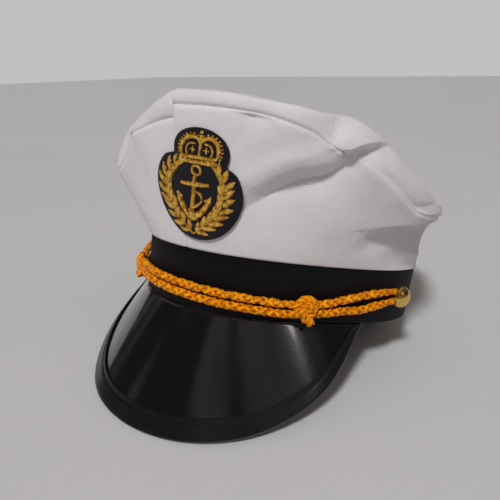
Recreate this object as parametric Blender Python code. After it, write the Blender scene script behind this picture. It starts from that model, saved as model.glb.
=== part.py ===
"""Sailor cap with a soft white crown, a black band, a patent peak and a gold cord.

Units are metres and +Z is up. The cap stands as it would by itself on a table: the front
of the peak's rim and the back of the band touch the table, so the whole cap leans back.
Every piece is made in the cap's own frame, whose origin is the centre of the band's
bottom edge, with the wearer looking along -Y and the wearer's left at +X. An empty
carries that frame and leans it back. Angles are polar angles round the head in degrees,
0 at the front and positive towards the wearer's left.
"""

import bmesh
import bpy
import numpy as np
from math import atan2, ceil, cos, exp, pi, radians, sin, sqrt
from mathutils import Matrix, Vector

# Clearances and cloth
GAP = 0.0003
CLOTH = 0.0015
TABLE_FLAT = 0.0004

# Band, an oval ring
BAND_LENGTH = 0.200
BAND_WIDTH = 0.1778
BAND_HEIGHT = 0.0312
BAND_WALL = 0.0022
BAND_FLARE = 0.0012
BAND_CORNER_TRIM = 0.062

# Crown
CROWN_FRONT = 0.1240
CROWN_BACK = 0.1040
CROWN_HALF_WIDTH = 0.1040
CROWN_HEIGHT = 0.1125
CROWN_MIDDLE_HEIGHT = 0.0850
SEAM_STEP = 0.0008

# Peak
VISOR_ANGLE = 66.85
VISOR_REACH = 0.1289
VISOR_DROP = 0.0618
VISOR_HALF_WIDTH = 0.0783
VISOR_WALL = 0.0016
BINDING_WIDTH = 0.0120
BINDING_WALL = 0.0009
VISOR_END = 0.975
BINDING_END = 0.965

# Cord, knots and buttons
CORD_DIAMETER = 0.0048
CORD_POINT_STEP = 0.011
KNOT_ANGLE = 39.7
KNOT_HEIGHT = 0.0148
KNOT_LENGTH = 0.0135
KNOT_DEPTH = 0.0094
KNOT_BASE = 0.0080
KNOT_STAND_OFF = 0.0051
BUTTON_ANGLE = 80.0
BUTTON_BASE = 0.0165
BUTTON_DIAMETER = 0.0125
BUTTON_RISE = 0.0048
BUTTON_RIM = 0.0006
BUTTON_STAND_OFF = 0.0047
POST_DIAMETER = 0.0030

# Badge, measured on the cloth; its middle is where the badge's own axes cross
BADGE_ANGLE = 5.5
BADGE_SHARE = 0.43
BADGE_LEAN = -7.0
PATCH_RADIUS = 0.0250
PATCH_LOBE_WIDTH = 0.0288
PATCH_LOBE_HEIGHT = 0.0232
PATCH_LOBE_RISE = 0.0210
LOBE_SHIFT = 0.0014
PATCH_NOTCH = 0.10
NOTCH_TURN = 40.0
NOTCH_SPREAD = 10.0
PATCH_THICKNESS = 0.0016
PATCH_GAP = 0.0006
GOLD_THICKNESS = 0.0014
GOLD_GAP = 0.0006
ANCHOR_HEIGHT = 0.0262
ANCHOR_RISE = 0.0005
WREATH_RADIUS = 0.0172
WREATH_WIDTH = 0.0092
WREATH_LEAVES = 8
EMBLEM_WIDTH = 0.0225
EMBLEM_HEIGHT = 0.0140
EMBLEM_FOOT = 0.0150

# Sections of the crown on the wearer's left. belly is how far the upright wall swells out
# at mid height, as a share of the crown's height. reach columns are shares of the crown's
# oval and height columns are shares of the crown's height: the tip seam, the outside of
# the rolled edge, and the top of the roll.
SECTION_COLUMNS = ("angle", "belly", "seam_reach", "seam_height", "roll_reach", "top_reach",
                   "top_height")
LEFT_SECTIONS = (
    (0, 0.013, 1.003, 0.907, 1.010, 0.968, 0.976),
    (13, 0.013, 1.004, 0.904, 1.010, 0.963, 0.974),
    (24, 0.009, 1.009, 0.889, 1.015, 0.967, 0.962),
    (33, 0.000, 1.020, 0.849, 1.022, 0.975, 0.952),
    (40, 0.000, 1.029, 0.791, 1.022, 0.968, 0.958),
    (46, 0.000, 1.033, 0.769, 1.028, 0.960, 0.930),
    (53, 0.000, 1.033, 0.716, 1.023, 0.948, 0.880),
    (60, -0.009, 1.030, 0.650, 1.018, 0.935, 0.820),
    (67, -0.018, 1.020, 0.598, 1.010, 0.928, 0.760),
    (75, -0.034, 1.000, 0.586, 0.996, 0.912, 0.708),
    (84, -0.040, 0.975, 0.592, 0.975, 0.895, 0.668),
    (95, -0.040, 0.955, 0.590, 0.955, 0.875, 0.640),
    (112, -0.034, 0.950, 0.565, 0.955, 0.875, 0.628),
    (135, -0.018, 0.962, 0.545, 0.968, 0.885, 0.622),
    (180, 0.000, 1.000, 0.533, 1.000, 0.913, 0.622),
)
RIGHT_SECTIONS = (
    (0, 0.013, 0.987, 0.853, 1.006, 0.968, 0.976),
    (7, 0.010, 0.988, 0.827, 0.998, 0.950, 0.930),
    (12, 0.006, 0.992, 0.800, 0.990, 0.935, 0.893),
    (17, 0.000, 0.996, 0.764, 0.983, 0.925, 0.862),
    (21, 0.000, 0.991, 0.676, 0.980, 0.925, 0.845),
    (26, 0.000, 0.996, 0.613, 0.985, 0.930, 0.835),
    (35, 0.000, 1.008, 0.596, 0.995, 0.940, 0.830),
    (45, 0.000, 1.034, 0.596, 1.018, 0.960, 0.826),
    (60, 0.000, 1.045, 0.587, 1.030, 0.965, 0.790),
    (75, -0.009, 1.022, 0.582, 1.018, 0.950, 0.735),
    (90, -0.013, 0.995, 0.578, 0.995, 0.920, 0.690),
    (112, -0.013, 0.972, 0.560, 0.975, 0.893, 0.649),
    (135, -0.009, 0.980, 0.542, 0.985, 0.895, 0.631),
    (180, 0.000, 1.000, 0.533, 1.000, 0.913, 0.622),
)

# Places along a section: 0 the band, 1 the tip seam, 2 the top of the roll, 3 the middle
SEAM, ROLL, TOP, INNER, MIDDLE = 1.0, 1.5, 2.0, 2.5, 3.0
INNER_REACH = 0.55
INNER_HEIGHT = 0.45

# Folds in the crown's cloth. Each runs between two places given by angle and place along
# the section. rise lifts the cloth on its upper side and sink presses it in on its lower
# side, as shares of the crown's height, and so is width; hang lets the upper side droop.
FOLD_COLUMNS = ("from_angle", "from_place", "to_angle", "to_place", "rise", "sink", "width",
                "hang")
FOLDS = (
    (39, 0.90, 31.0, 0.66, 0.035, 0.055, 0.060, 0.00),
    (33, 0.72, 21, 0.44, 0.020, 0.030, 0.065, 0.00),
    (39, 1.65, 38.5, 1.25, -0.018, 0.020, 0.045, 0.00),
    (41, 1.18, 49, 1.60, 0.025, 0.030, 0.050, 0.00),
    (56, 0.62, 90, 0.84, 0.035, 0.060, 0.075, 0.03),
    (62, 1.10, 80, 1.60, -0.015, 0.020, 0.040, 0.00),
    (-16, 1.20, -20, 1.60, -0.012, 0.012, 0.045, 0.00),
    (-60, 0.80, -95, 0.95, 0.020, 0.030, 0.070, 0.01),
    (-115, 0.82, -155, 0.88, 0.030, 0.040, 0.070, 0.01),
    (118, 0.82, 150, 0.88, 0.030, 0.035, 0.070, 0.01),
    (150, 1.55, 172, 1.25, 0.010, 0.030, 0.050, 0.00),
)

# Rim of the peak from its middle to its end, as shares of the peak's half width, of its
# reach past the ends and of its drop
RIM_COLUMNS = ("share", "across", "forward", "drop")
RIM = (
    (0.00, 0.000, 1.000, 1.000),
    (0.25, 0.437, 0.922, 0.956),
    (0.50, 0.785, 0.699, 0.811),
    (0.75, 0.997, 0.386, 0.492),
    (1.00, 1.000, 0.000, 0.000),
)

# Faces that close the binding's section at its ends, by the numbers of the section's points
BINDING_END_FACES = (
    (0, 1, 2, 14),
    (14, 2, 3, 13),
    (13, 3, 4, 5),
    (13, 5, 12),
    (12, 5, 6, 7),
    (12, 7, 8, 11),
    (11, 8, 9, 10),
)

# Routes of the two strands on the band: angle, height of the strand's middle above the
# band's bottom, how far its middle stands off the band, and its girth as a share
CORD_COLUMNS = ("angle", "height", "stand_off", "girth")
UPPER_STRAND = (
    (-78.4, 0.0193, 0.0021, 0.70),
    (-75.5, 0.0193, 0.0024, 0.80),
    (-68.0, 0.0187, 0.0045, 1.00),
    (-59.6, 0.0164, 0.0056, 1.00),
    (-50.0, 0.0132, 0.0054, 1.00),
    (-39.7, 0.0105, 0.0044, 0.85),
    (-30.0, 0.0125, 0.0030, 1.00),
    (-18.9, 0.0130, 0.0028, 1.00),
    (-3.3, 0.0126, 0.0028, 1.00),
    (15.6, 0.0112, 0.0028, 1.00),
    (25.3, 0.0106, 0.0028, 1.00),
    (32.0, 0.0102, 0.0032, 1.00),
    (39.7, 0.0105, 0.0044, 0.85),
    (46.5, 0.0117, 0.0034, 1.00),
    (53.3, 0.0140, 0.0028, 1.00),
    (59.6, 0.0164, 0.0028, 1.00),
    (68.2, 0.0187, 0.0028, 1.00),
    (75.5, 0.0193, 0.0024, 0.80),
    (78.4, 0.0193, 0.0021, 0.70),
)
LOWER_STRAND = (
    (-78.4, 0.0137, 0.0021, 0.70),
    (-75.5, 0.0132, 0.0024, 0.80),
    (-69.4, 0.0118, 0.0035, 1.00),
    (-60.8, 0.0088, 0.0042, 1.00),
    (-50.0, 0.0066, 0.0046, 1.00),
    (-39.7, 0.0055, 0.0044, 0.85),
    (-30.0, 0.0070, 0.0030, 1.00),
    (-16.9, 0.0077, 0.0028, 1.00),
    (-2.9, 0.0072, 0.0028, 1.00),
    (15.9, 0.0058, 0.0028, 1.00),
    (25.6, 0.0052, 0.0028, 1.00),
    (32.0, 0.0049, 0.0032, 1.00),
    (39.7, 0.0055, 0.0044, 0.85),
    (46.7, 0.0058, 0.0034, 1.00),
    (54.2, 0.0073, 0.0028, 1.00),
    (60.8, 0.0088, 0.0028, 1.00),
    (69.4, 0.0118, 0.0028, 1.00),
    (75.5, 0.0132, 0.0024, 0.80),
    (78.4, 0.0137, 0.0021, 0.70),
)

# Right half of the anchor from under its ring to the lowest point, as shares of its height
ANCHOR_COLUMNS = ("across", "up")
ANCHOR = (
    (0.045, 0.25),
    (0.045, 0.14),
    (0.25, 0.12),
    (0.25, 0.05),
    (0.045, 0.07),
    (0.045, -0.30),
    (0.17, -0.22),
    (0.26, -0.10),
    (0.23, 0.00),
    (0.35, -0.07),
    (0.36, -0.20),
    (0.24, -0.38),
    (0.10, -0.47),
    (0.00, -0.50),
)

# Detail of the meshes
WELD = 1e-6
SHARP_TURN = 40
FINE_END = 112.5
FINE_STEP = 3.75
COARSE_STEP = 9.7
SEAM_TURN = 1e-4
NORMAL_TURN = 1.2
NORMAL_STEP = 0.05
BAND_STEP = 6.0
WALL_ROWS = 8
TIP_ROWS = 8
VISOR_COLUMNS = 28
VISOR_ROWS = 4
BADGE_SLICE = 0.009
SLICE_SHIFT = 1e-5
PATCH_TURN = 10.0
SLOT_SPAN = 9.0
SLOT_RINGS = 9
SLOT_POINTS = 7
BUTTON_SIDES = 14

WHITE = ((0.80, 0.78, 0.78), 0.85, 0.0)
BAND_BLACK = ((0.012, 0.012, 0.013), 0.75, 0.0)
PATENT_BLACK = ((0.006, 0.006, 0.007), 0.08, 0.0)
BINDING_BLACK = ((0.008, 0.008, 0.009), 0.25, 0.0)
CORD_GOLD = ((0.90, 0.36, 0.02), 0.45, 0.0)
BRASS = ((0.83, 0.60, 0.22), 0.18, 1.0)
FELT_BLACK = ((0.015, 0.016, 0.022), 0.9, 0.0)
THREAD_GOLD = ((0.62, 0.40, 0.10), 0.35, 0.6)


def smooth(knots, values, at):
    """Smooth curve through a table's column, with slopes taken from the neighbours."""
    knots, values, at = np.asarray(knots, float), np.asarray(values, float), np.asarray(at, float)
    step = np.diff(knots)
    secant = np.diff(values) / step
    slope = np.empty_like(values)
    slope[0], slope[-1] = secant[0], secant[-1]
    slope[1:-1] = (secant[:-1] * step[1:] + secant[1:] * step[:-1]) / (step[:-1] + step[1:])
    i = np.clip(np.searchsorted(knots, at) - 1, 0, len(step) - 1)
    s = (at - knots[i]) / step[i]
    return (values[i] * (1 + 2 * s) * (1 - s) ** 2 + values[i + 1] * s * s * (3 - 2 * s)
            + step[i] * s * (1 - s) * (slope[i] * (1 - s) - slope[i + 1] * s))


def oval(angle, half_width, front, back):
    """Distance from the middle to an oval at a polar angle."""
    a = np.radians(angle)
    half_length = np.where(np.cos(a) > 0, front, back)
    return 1 / np.sqrt((np.sin(a) / half_width) ** 2 + (np.cos(a) / half_length) ** 2)


def band_reach(angle, height):
    """Distance from the middle to the band's outside; its corners are trimmed."""
    reach = oval(angle, BAND_WIDTH / 2, BAND_LENGTH / 2, BAND_LENGTH / 2)
    trim = BAND_CORNER_TRIM * np.sin(2 * np.radians(angle)) ** 2
    return reach * (1 - trim) + BAND_FLARE * height / BAND_HEIGHT


def at_angle(angle, reach, height):
    """Points of the cap's frame from polar angle, reach and height."""
    a = np.radians(angle)
    return np.stack([reach * np.sin(a), -reach * np.cos(a), height + 0 * a], axis=-1)


def band_point(angle, height, stand_off):
    return at_angle(angle, band_reach(angle, height) + stand_off, height)


def column(table, names, name):
    return np.array(table)[:, names.index(name)]


def section(angle, name):
    """A column of the crown's tables, by signed angle."""
    sides = []
    for table in (LEFT_SECTIONS, RIGHT_SECTIONS):
        knots = column(table, SECTION_COLUMNS, "angle")
        sides.append(smooth(knots, column(table, SECTION_COLUMNS, name), np.abs(angle)))
    return np.where(angle >= 0, sides[0], sides[1])


def tip_stations(angle):
    """Reach and height of the tip's section at its stations, from the seam inwards."""
    edge = oval(angle, CROWN_HALF_WIDTH, CROWN_FRONT, CROWN_BACK)
    seam = edge * section(angle, "seam_reach"), CROWN_HEIGHT * section(angle, "seam_height")
    top = edge * section(angle, "top_reach"), CROWN_HEIGHT * section(angle, "top_height")
    roll = edge * section(angle, "roll_reach"), (seam[1] + top[1]) / 2
    inner = (top[0] * INNER_REACH,
             CROWN_MIDDLE_HEIGHT + (top[1] - CROWN_MIDDLE_HEIGHT) * INNER_HEIGHT)
    return seam, roll, top, inner


def picked(rows, i):
    return np.take_along_axis(rows, i[None], axis=0)[0]


def crown_base(angle, place):
    """The crown's outside before folds, by signed angle and place along the section."""
    angle, place = np.broadcast_arrays(np.asarray(angle, float), np.asarray(place, float))
    seam, roll, top, inner = tip_stations(angle)
    opposite = np.where(angle > 0, angle - 180, angle + 180)
    beyond = tip_stations(opposite)[3]
    start = (band_reach(angle, BAND_HEIGHT) + SEAM_STEP, BAND_HEIGHT + GAP + 0 * angle)
    swell = 2 * section(angle, "belly") * CROWN_HEIGHT
    s = np.clip(place, 0, 1)
    wall = [start[k] * (1 - s) ** 2 + seam[k] * s * s + (start[k] + seam[k]) * s * (1 - s)
            for k in (0, 1)]
    wall[0] = wall[0] + 2 * s * (1 - s) * swell
    middle = (0 * angle, CROWN_MIDDLE_HEIGHT + 0 * angle)
    stops = (seam, roll, top, inner, middle)
    knots = np.array([SEAM, ROLL, TOP, INNER, MIDDLE])
    tip = []
    for k in (0, 1):
        v = np.stack([stop[k] for stop in stops])
        far = -beyond[0] if k == 0 else beyond[1]
        v = np.concatenate([v, far[None]])
        x = np.append(knots, 2 * MIDDLE - INNER)
        slope = np.empty_like(v)
        slope[1:-1] = (v[2:] - v[:-2]) / (x[2:] - x[:-2]).reshape((-1,) + (1,) * angle.ndim)
        slope[0] = (v[1] - v[0]) / (x[1] - x[0])
        slope[-1] = slope[-2]
        if k == 1:
            slope[2] = 0
        p = np.clip(place, SEAM, MIDDLE)
        i = np.clip(np.searchsorted(x, p) - 1, 0, len(knots) - 2)
        w = x[i + 1] - x[i]
        q = (p - x[i]) / w
        tip.append(picked(v, i) * (1 + 2 * q) * (1 - q) ** 2
                   + picked(v, i + 1) * q * q * (3 - 2 * q)
                   + w * q * (1 - q) * (picked(slope, i) * (1 - q) - picked(slope, i + 1) * q))
    reach = np.where(place < SEAM, wall[0], tip[0])
    height = np.where(place < SEAM, wall[1], tip[1])
    return at_angle(angle, reach, height)


def round_head(surface, angle, place):
    """Way round the head at each place, within the panel that the angle lies in."""
    low = np.where(angle >= 0, np.maximum(angle - NORMAL_TURN, 0), angle - NORMAL_TURN)
    high = np.where(angle >= 0, angle + NORMAL_TURN, np.minimum(angle + NORMAL_TURN, -SEAM_TURN))
    return surface(high, place) - surface(low, place)


def crown_normal(surface, angle, place):
    """Outward normals of a surface given by angle and place, averaged over a short span."""
    place = np.minimum(place, MIDDLE - 2 * NORMAL_STEP)
    up = surface(angle, place + NORMAL_STEP) - surface(angle, np.maximum(place - NORMAL_STEP, 0))
    n = np.cross(round_head(surface, angle, place), up)
    return n / np.linalg.norm(n, axis=-1, keepdims=True)


def crown_point(angle, place):
    """The crown's outside with its folds."""
    angle, place = np.broadcast_arrays(np.asarray(angle, float), np.asarray(place, float))
    base = crown_base(angle, place)
    normal = crown_normal(crown_base, angle, place)
    shift = np.zeros_like(base)
    for row in FOLDS:
        fold = dict(zip(FOLD_COLUMNS, row))
        start = crown_base(fold["from_angle"], fold["from_place"])
        end = crown_base(fold["to_angle"], fold["to_place"])
        along = end - start
        share = ((base - start) @ along) / (along @ along)
        nearest = start + np.clip(share, 0, 1)[..., None] * along
        away = base - nearest
        upper = np.cross(along / np.linalg.norm(along), normal)
        upper *= np.where(upper[..., 2:3] >= 0, 1.0, -1.0)
        width = fold["width"] * CROWN_HEIGHT
        side = (away * upper).sum(-1) / width
        end_fade = np.exp(-(np.maximum(np.abs(share - 0.5) - 0.35, 0) / 0.22) ** 2)
        far_fade = np.exp(-np.maximum(np.linalg.norm(away, axis=-1) / width - 3, 0) ** 2)
        amount = (fold["rise"] * np.exp(-(side - 0.75) ** 2)
                  - fold["sink"] * np.exp(-(side + 0.75) ** 2)) * end_fade * far_fade
        droop = fold["hang"] * np.exp(-(side - 0.2) ** 2) * end_fade * far_fade
        shift += CROWN_HEIGHT * (amount[..., None] * normal - droop[..., None] * upper)
    keep = np.clip(place / 0.25, 0, 1)
    fade = (keep * keep * (3 - 2 * keep))[..., None]
    return base + shift * fade


def place_points(name, verts, faces, look):
    mesh = bpy.data.meshes.new(name)
    mesh.from_pydata([tuple(v) for v in verts], [], faces)
    return place_mesh(name, mesh, look)


def turn_outward(mesh):
    """Join points that coincide and make every face look outwards."""
    bm = bmesh.new()
    bm.from_mesh(mesh)
    bmesh.ops.remove_doubles(bm, verts=bm.verts, dist=WELD)
    bmesh.ops.recalc_face_normals(bm, faces=bm.faces)
    if bm.calc_volume(signed=True) < 0:
        bmesh.ops.reverse_faces(bm, faces=bm.faces)
    bm.to_mesh(mesh)
    bm.free()


def place_mesh(name, mesh, look):
    """A mesh as an object in the cap's frame with its own material."""
    turn_outward(mesh)
    mesh.shade_smooth()
    mesh.set_sharp_from_angle(angle=radians(SHARP_TURN))
    mesh.materials.clear()
    mesh.materials.append(material(name, look))
    obj = bpy.data.objects.new(name, mesh)
    parts.objects.link(obj)
    obj.parent = cap_frame
    return obj


def material(name, look):
    colour, roughness, metallic = look
    made = bpy.data.materials.new(name)
    made.use_nodes = True
    shader = made.node_tree.nodes["Principled BSDF"]
    shader.inputs["Base Color"].default_value = (*colour, 1)
    shader.inputs["Roughness"].default_value = roughness
    shader.inputs["Metallic"].default_value = metallic
    return made


def loft(rows, ring=False):
    """Faces over equal rows of points; ring joins each row's end to its start."""
    rows = np.asarray(rows)
    count, wide = rows.shape[:2]
    verts = rows.reshape(-1, 3)
    faces = []
    for r in range(count - 1):
        for c in range(wide if ring else wide - 1):
            d = (c + 1) % wide
            faces.append((r * wide + c, r * wide + d, (r + 1) * wide + d, (r + 1) * wide + c))
    return verts, faces


def sheet(name, outer, inner, look):
    """Closed wall between an outer and an inner grid of points of the same size."""
    rows, wide = outer.shape[:2]
    verts = np.concatenate([outer.reshape(-1, 3), inner.reshape(-1, 3)])
    shift = rows * wide
    faces = []
    for r in range(rows - 1):
        for c in range(wide - 1):
            a, b, d, e = r * wide + c, r * wide + c + 1, (r + 1) * wide + c + 1, (r + 1) * wide + c
            faces += [(a, b, d, e), (e + shift, d + shift, b + shift, a + shift)]
    edge = [(0, c) for c in range(wide)] + [(r, wide - 1) for r in range(1, rows)]
    edge += [(rows - 1, c) for c in range(wide - 2, -1, -1)] + [(r, 0) for r in range(rows - 2, 0, -1)]
    loop = [r * wide + c for r, c in edge]
    for a, b in zip(loop, loop[1:] + loop[:1]):
        faces.append((b, a, a + shift, b + shift))
    return place_points(name, verts, faces, look)


def seam_edge(angle, upward):
    """Outer and inner edge of a panel at the tip seam, half a gap above or below it."""
    place = SEAM + 0 * angle
    facing = crown_normal(crown_point, angle, place)
    up = np.cross(facing, round_head(crown_point, angle, place))
    up /= np.linalg.norm(up, axis=-1, keepdims=True)
    outer = crown_point(angle, place) + upward * GAP / 2 * up
    return outer, outer - CLOTH * facing


def crown_panel(name, side, low, high, rows, look):
    """One panel of the crown: side is 1 for the wearer's left and -1 for the right."""
    fine = np.arange(0, FINE_END, FINE_STEP)
    coarse = np.linspace(FINE_END, 180, int(ceil((180 - FINE_END) / COARSE_STEP)) + 1)
    turns = np.concatenate([fine, coarse])
    turns[0] += SEAM_TURN
    turns[-1] -= SEAM_TURN
    angle, place = np.meshgrid(side * turns, np.linspace(low, high, rows + 1))
    outer = crown_point(angle, place)
    inner = outer - CLOTH * crown_normal(crown_point, angle, place)
    if high == SEAM:
        outer[-1], inner[-1] = seam_edge(angle[-1], -1)
    if low == SEAM:
        outer[0], inner[0] = seam_edge(angle[0], 1)
    inner[..., 0] = side * np.maximum(side * inner[..., 0], 0)
    inner[0, :, 2] = np.maximum(inner[0, :, 2], outer[0, :, 2]) if low == 0 else inner[0, :, 2]
    for grid in (outer, inner):
        grid[:, 0, 0] = grid[:, -1, 0] = 0
        grid[..., 0] += side * GAP / 2
    if high == MIDDLE:
        inner[-1] = outer[-1] - np.array([0, 0, CLOTH])
    return sheet(name, outer, inner, look)


def make_crown():
    for word, side in (("left", 1), ("right", -1)):
        crown_panel("side_panel_" + word, side, 0.0, SEAM, WALL_ROWS, WHITE)
        crown_panel("tip_" + word, side, SEAM, MIDDLE, TIP_ROWS, WHITE)


def make_band():
    angle = np.arange(-180, 180, BAND_STEP)
    corners = ((0, 0), (BAND_HEIGHT, 0), (BAND_HEIGHT, -BAND_WALL), (0, -BAND_WALL), (0, 0))
    rows = [band_point(angle, height, stand_off) for height, stand_off in corners]
    verts, faces = loft(rows, ring=True)
    band = place_points("hat_band", verts, faces, BAND_BLACK)
    press_flat(band)
    for side in (1, -1):
        hole = post_hole(side)
        cut = band.modifiers.new("post_hole", "BOOLEAN")
        cut.operation, cut.object = "DIFFERENCE", hole
    return band


def rim_point(u):
    """Rim of the peak; u runs from -1 at the wearer's right end to 1 at the left."""
    share, across, forward, drop = (column(RIM, RIM_COLUMNS, name) for name in RIM_COLUMNS)
    both = np.concatenate([-share[:0:-1], share])
    x = VISOR_HALF_WIDTH * smooth(both, np.concatenate([-across[:0:-1], across]), u)
    back = band_point(VISOR_ANGLE, 0.0, 0.0)[1]
    y = back - (VISOR_REACH + back) * smooth(both, np.concatenate([forward[:0:-1], forward]), u)
    z = -VISOR_DROP * smooth(both, np.concatenate([drop[:0:-1], drop]), u)
    return np.stack([x, y, z], axis=-1)


def root_point(u):
    """Where the peak meets the band's bottom edge."""
    return band_point(VISOR_ANGLE * u, 0.0, 0.0) - np.array([0, 0, GAP])


def visor_frame(u):
    """Rim and root points, the way from rim to root, its length and the outward normal."""
    u = np.asarray(u, float)
    step = 0.01
    rim, root = rim_point(u), root_point(u)
    way = root - rim
    length = np.linalg.norm(way, axis=-1, keepdims=True)
    way = way / np.maximum(length, 1e-9)
    tangent = (rim_point(u + step) + root_point(u + step)
               - rim_point(u - step) - root_point(u - step))
    normal = np.cross(tangent, way)
    normal /= np.linalg.norm(normal, axis=-1, keepdims=True)
    return rim, root, way, length, normal


def make_visor():
    u = np.linspace(-VISOR_END, VISOR_END, VISOR_COLUMNS + 1)
    rim, root, way, length, normal = visor_frame(u)
    edge = BINDING_WALL + GAP
    outer, inner = [], []
    for share in np.linspace(0, 1, VISOR_ROWS + 1):
        along = edge + (length - edge) * share
        point = rim + way * along
        under = point - normal * VISOR_WALL
        if share == 1:
            under = under + way * ((root - under)[..., 2:3] / way[..., 2:3])
        outer.append(point)
        inner.append(under)
    return sheet("visor", np.array(outer), np.array(inner), PATENT_BLACK)


def make_binding():
    """Strip folded over the peak's rim: a U section carried along the rim."""
    u = np.linspace(-BINDING_END, BINDING_END, VISOR_COLUMNS + 5)
    rim, root, way, length, normal = visor_frame(u)
    depth = np.minimum(BINDING_WIDTH, length - 2 * GAP)
    over, under = GAP, -VISOR_WALL - GAP
    wall = BINDING_WALL
    profile = (
        (1.0, 0, over),
        (1.0, 0, over + wall),
        (0.5, 0, over + wall),
        (0, 1.2 * wall, over + wall),
        (0, 0.25 * wall, over + 0.4 * wall),
        (0, 0, (over + under) / 2),
        (0, 0.25 * wall, under - 0.4 * wall),
        (0, 1.2 * wall, under - wall),
        (0.5, 0, under - wall),
        (1.0, 0, under - wall),
        (1.0, 0, under),
        (0.5, 0, under),
        (0, wall, under),
        (0, wall, over),
        (0.5, 0, over),
    )
    rows = []
    for share, extra, lift in profile:
        rows.append(rim + way * (depth * share + extra) + normal * lift)
    rows = np.array(rows).transpose(1, 0, 2)
    verts, faces = loft(rows, ring=True)
    last = len(verts) - len(profile)
    for base in (0, last):
        faces += [tuple(base + k for k in face) for face in BINDING_END_FACES]
    binding = place_points("visor_binding", verts, faces, BINDING_BLACK)
    press_flat(binding)
    return binding


def cutter(name, mesh, matrix):
    obj = bpy.data.objects.new(name, mesh)
    cutters.objects.link(obj)
    obj.matrix_world = matrix
    obj.hide_render = True
    obj.display_type = "WIRE"
    return obj


def press_flat(obj):
    """Flat where the piece rests on the table."""
    flat = obj.modifiers.new("table", "BOOLEAN")
    flat.operation, flat.object = "DIFFERENCE", table


def make_table_cutter():
    bm = bmesh.new()
    bmesh.ops.create_cube(bm, size=1.0)
    mesh = bpy.data.meshes.new("table")
    bm.to_mesh(mesh)
    bm.free()
    width, depth = 4 * CROWN_FRONT, BAND_HEIGHT
    return cutter("table", mesh, Matrix.Translation((0, 0, -depth / 2))
                  @ Matrix.Diagonal((width, width, depth, 1)))


def strand_place(table, at):
    """Height, stand-off and girth of a strand at an angle."""
    knots = column(table, CORD_COLUMNS, "angle")
    return [smooth(knots, column(table, CORD_COLUMNS, name), at) for name in CORD_COLUMNS[1:]]


def strand_points(table):
    """Points and girths along a strand, read from a smooth curve through its table."""
    knots = column(table, CORD_COLUMNS, "angle")
    span = radians(knots[-1] - knots[0]) * BAND_WIDTH / 2
    at = np.linspace(knots[0], knots[-1], int(ceil(span / CORD_POINT_STEP)) + 1)
    height, stand_off, girth = strand_place(table, at)
    return band_point(at, height, stand_off), girth


def make_strand(name, table):
    points, girth = strand_points(table)
    curve = bpy.data.curves.new(name, "CURVE")
    curve.dimensions = "3D"
    curve.bevel_depth = CORD_DIAMETER / 2
    curve.bevel_resolution = 2
    curve.use_fill_caps = True
    spline = curve.splines.new("POLY")
    spline.points.add(len(points) - 1)
    for p, co, g in zip(spline.points, points, girth):
        p.co = (*co, 1)
        p.radius = g
    curve.materials.append(material(name, CORD_GOLD))
    obj = bpy.data.objects.new(name, curve)
    parts.objects.link(obj)
    obj.parent = cap_frame
    return obj


def seat(angle, height, stand_off):
    """Frame on the band: X along the band, Y up it and Z outwards."""
    spot = Vector(band_point(angle, height, stand_off))
    ahead = Vector(band_point(angle + 0.5, height, 0)) - Vector(band_point(angle - 0.5, height, 0))
    up = Vector(band_point(angle, height + 0.001, 0)) - Vector(band_point(angle, height, 0))
    ahead.normalize()
    out = ahead.cross(up).normalized()
    up = out.cross(ahead)
    turn = Matrix((ahead, up, out)).transposed().to_4x4()
    return Matrix.Translation(spot) @ turn


def mesh_from_bmesh(name, bm):
    mesh = bpy.data.meshes.new(name)
    bm.to_mesh(mesh)
    bm.free()
    return mesh


def make_knot(word, side):
    """Knot round both strands: a plump body with a slot that the strands pass through."""
    frame = seat(side * KNOT_ANGLE, KNOT_BASE, KNOT_STAND_OFF)
    bm = bmesh.new()
    bmesh.ops.create_uvsphere(bm, u_segments=16, v_segments=10, radius=1.0)
    size = Matrix.Diagonal((KNOT_LENGTH / 2, KNOT_HEIGHT / 2, KNOT_DEPTH / 2, 1))
    bmesh.ops.transform(bm, matrix=frame @ size, verts=bm.verts)
    knot = place_mesh("knot_" + word, mesh_from_bmesh("knot_" + word, bm), CORD_GOLD)
    slot = make_strand_slot("slot_" + word, side)
    cut = knot.modifiers.new("slot", "BOOLEAN")
    cut.operation, cut.object = "DIFFERENCE", slot
    return knot


def make_strand_slot(name, side):
    """Cutter round both strands at a knot, following their routes."""
    middle = side * KNOT_ANGLE
    rings = []
    for a in np.linspace(middle - SLOT_SPAN, middle + SLOT_SPAN, SLOT_RINGS):
        ring = []
        for table, start in ((UPPER_STRAND, 0), (LOWER_STRAND, pi)):
            height, stand_off, girth = strand_place(table, a)
            radius = girth * CORD_DIAMETER / 2 + 2.5 * GAP
            for turn in start + np.linspace(0, pi, SLOT_POINTS):
                ring.append(band_point(a, height + radius * sin(turn),
                                       stand_off + radius * cos(turn)))
        rings.append(ring)
    verts, faces = loft(rings, ring=True)
    wide = len(rings[0])
    faces.append(tuple(range(wide)))
    faces.append(tuple(range(len(verts) - wide, len(verts))))
    mesh = bpy.data.meshes.new(name)
    mesh.from_pydata([tuple(v) for v in verts], [], faces)
    turn_outward(mesh)
    slot = cutter(name, mesh, Matrix())
    slot.parent = cap_frame
    return slot


def post_hole(side):
    bm = bmesh.new()
    radius = POST_DIAMETER / 2 + GAP
    bmesh.ops.create_cone(bm, cap_ends=True, segments=12, radius1=radius, radius2=radius,
                          depth=6 * BAND_WALL)
    bmesh.ops.transform(bm, matrix=seat(side * BUTTON_ANGLE, BUTTON_BASE, 0), verts=bm.verts)
    obj = cutter("post_hole", mesh_from_bmesh("post_hole", bm), Matrix())
    obj.parent = cap_frame
    return obj


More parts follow.
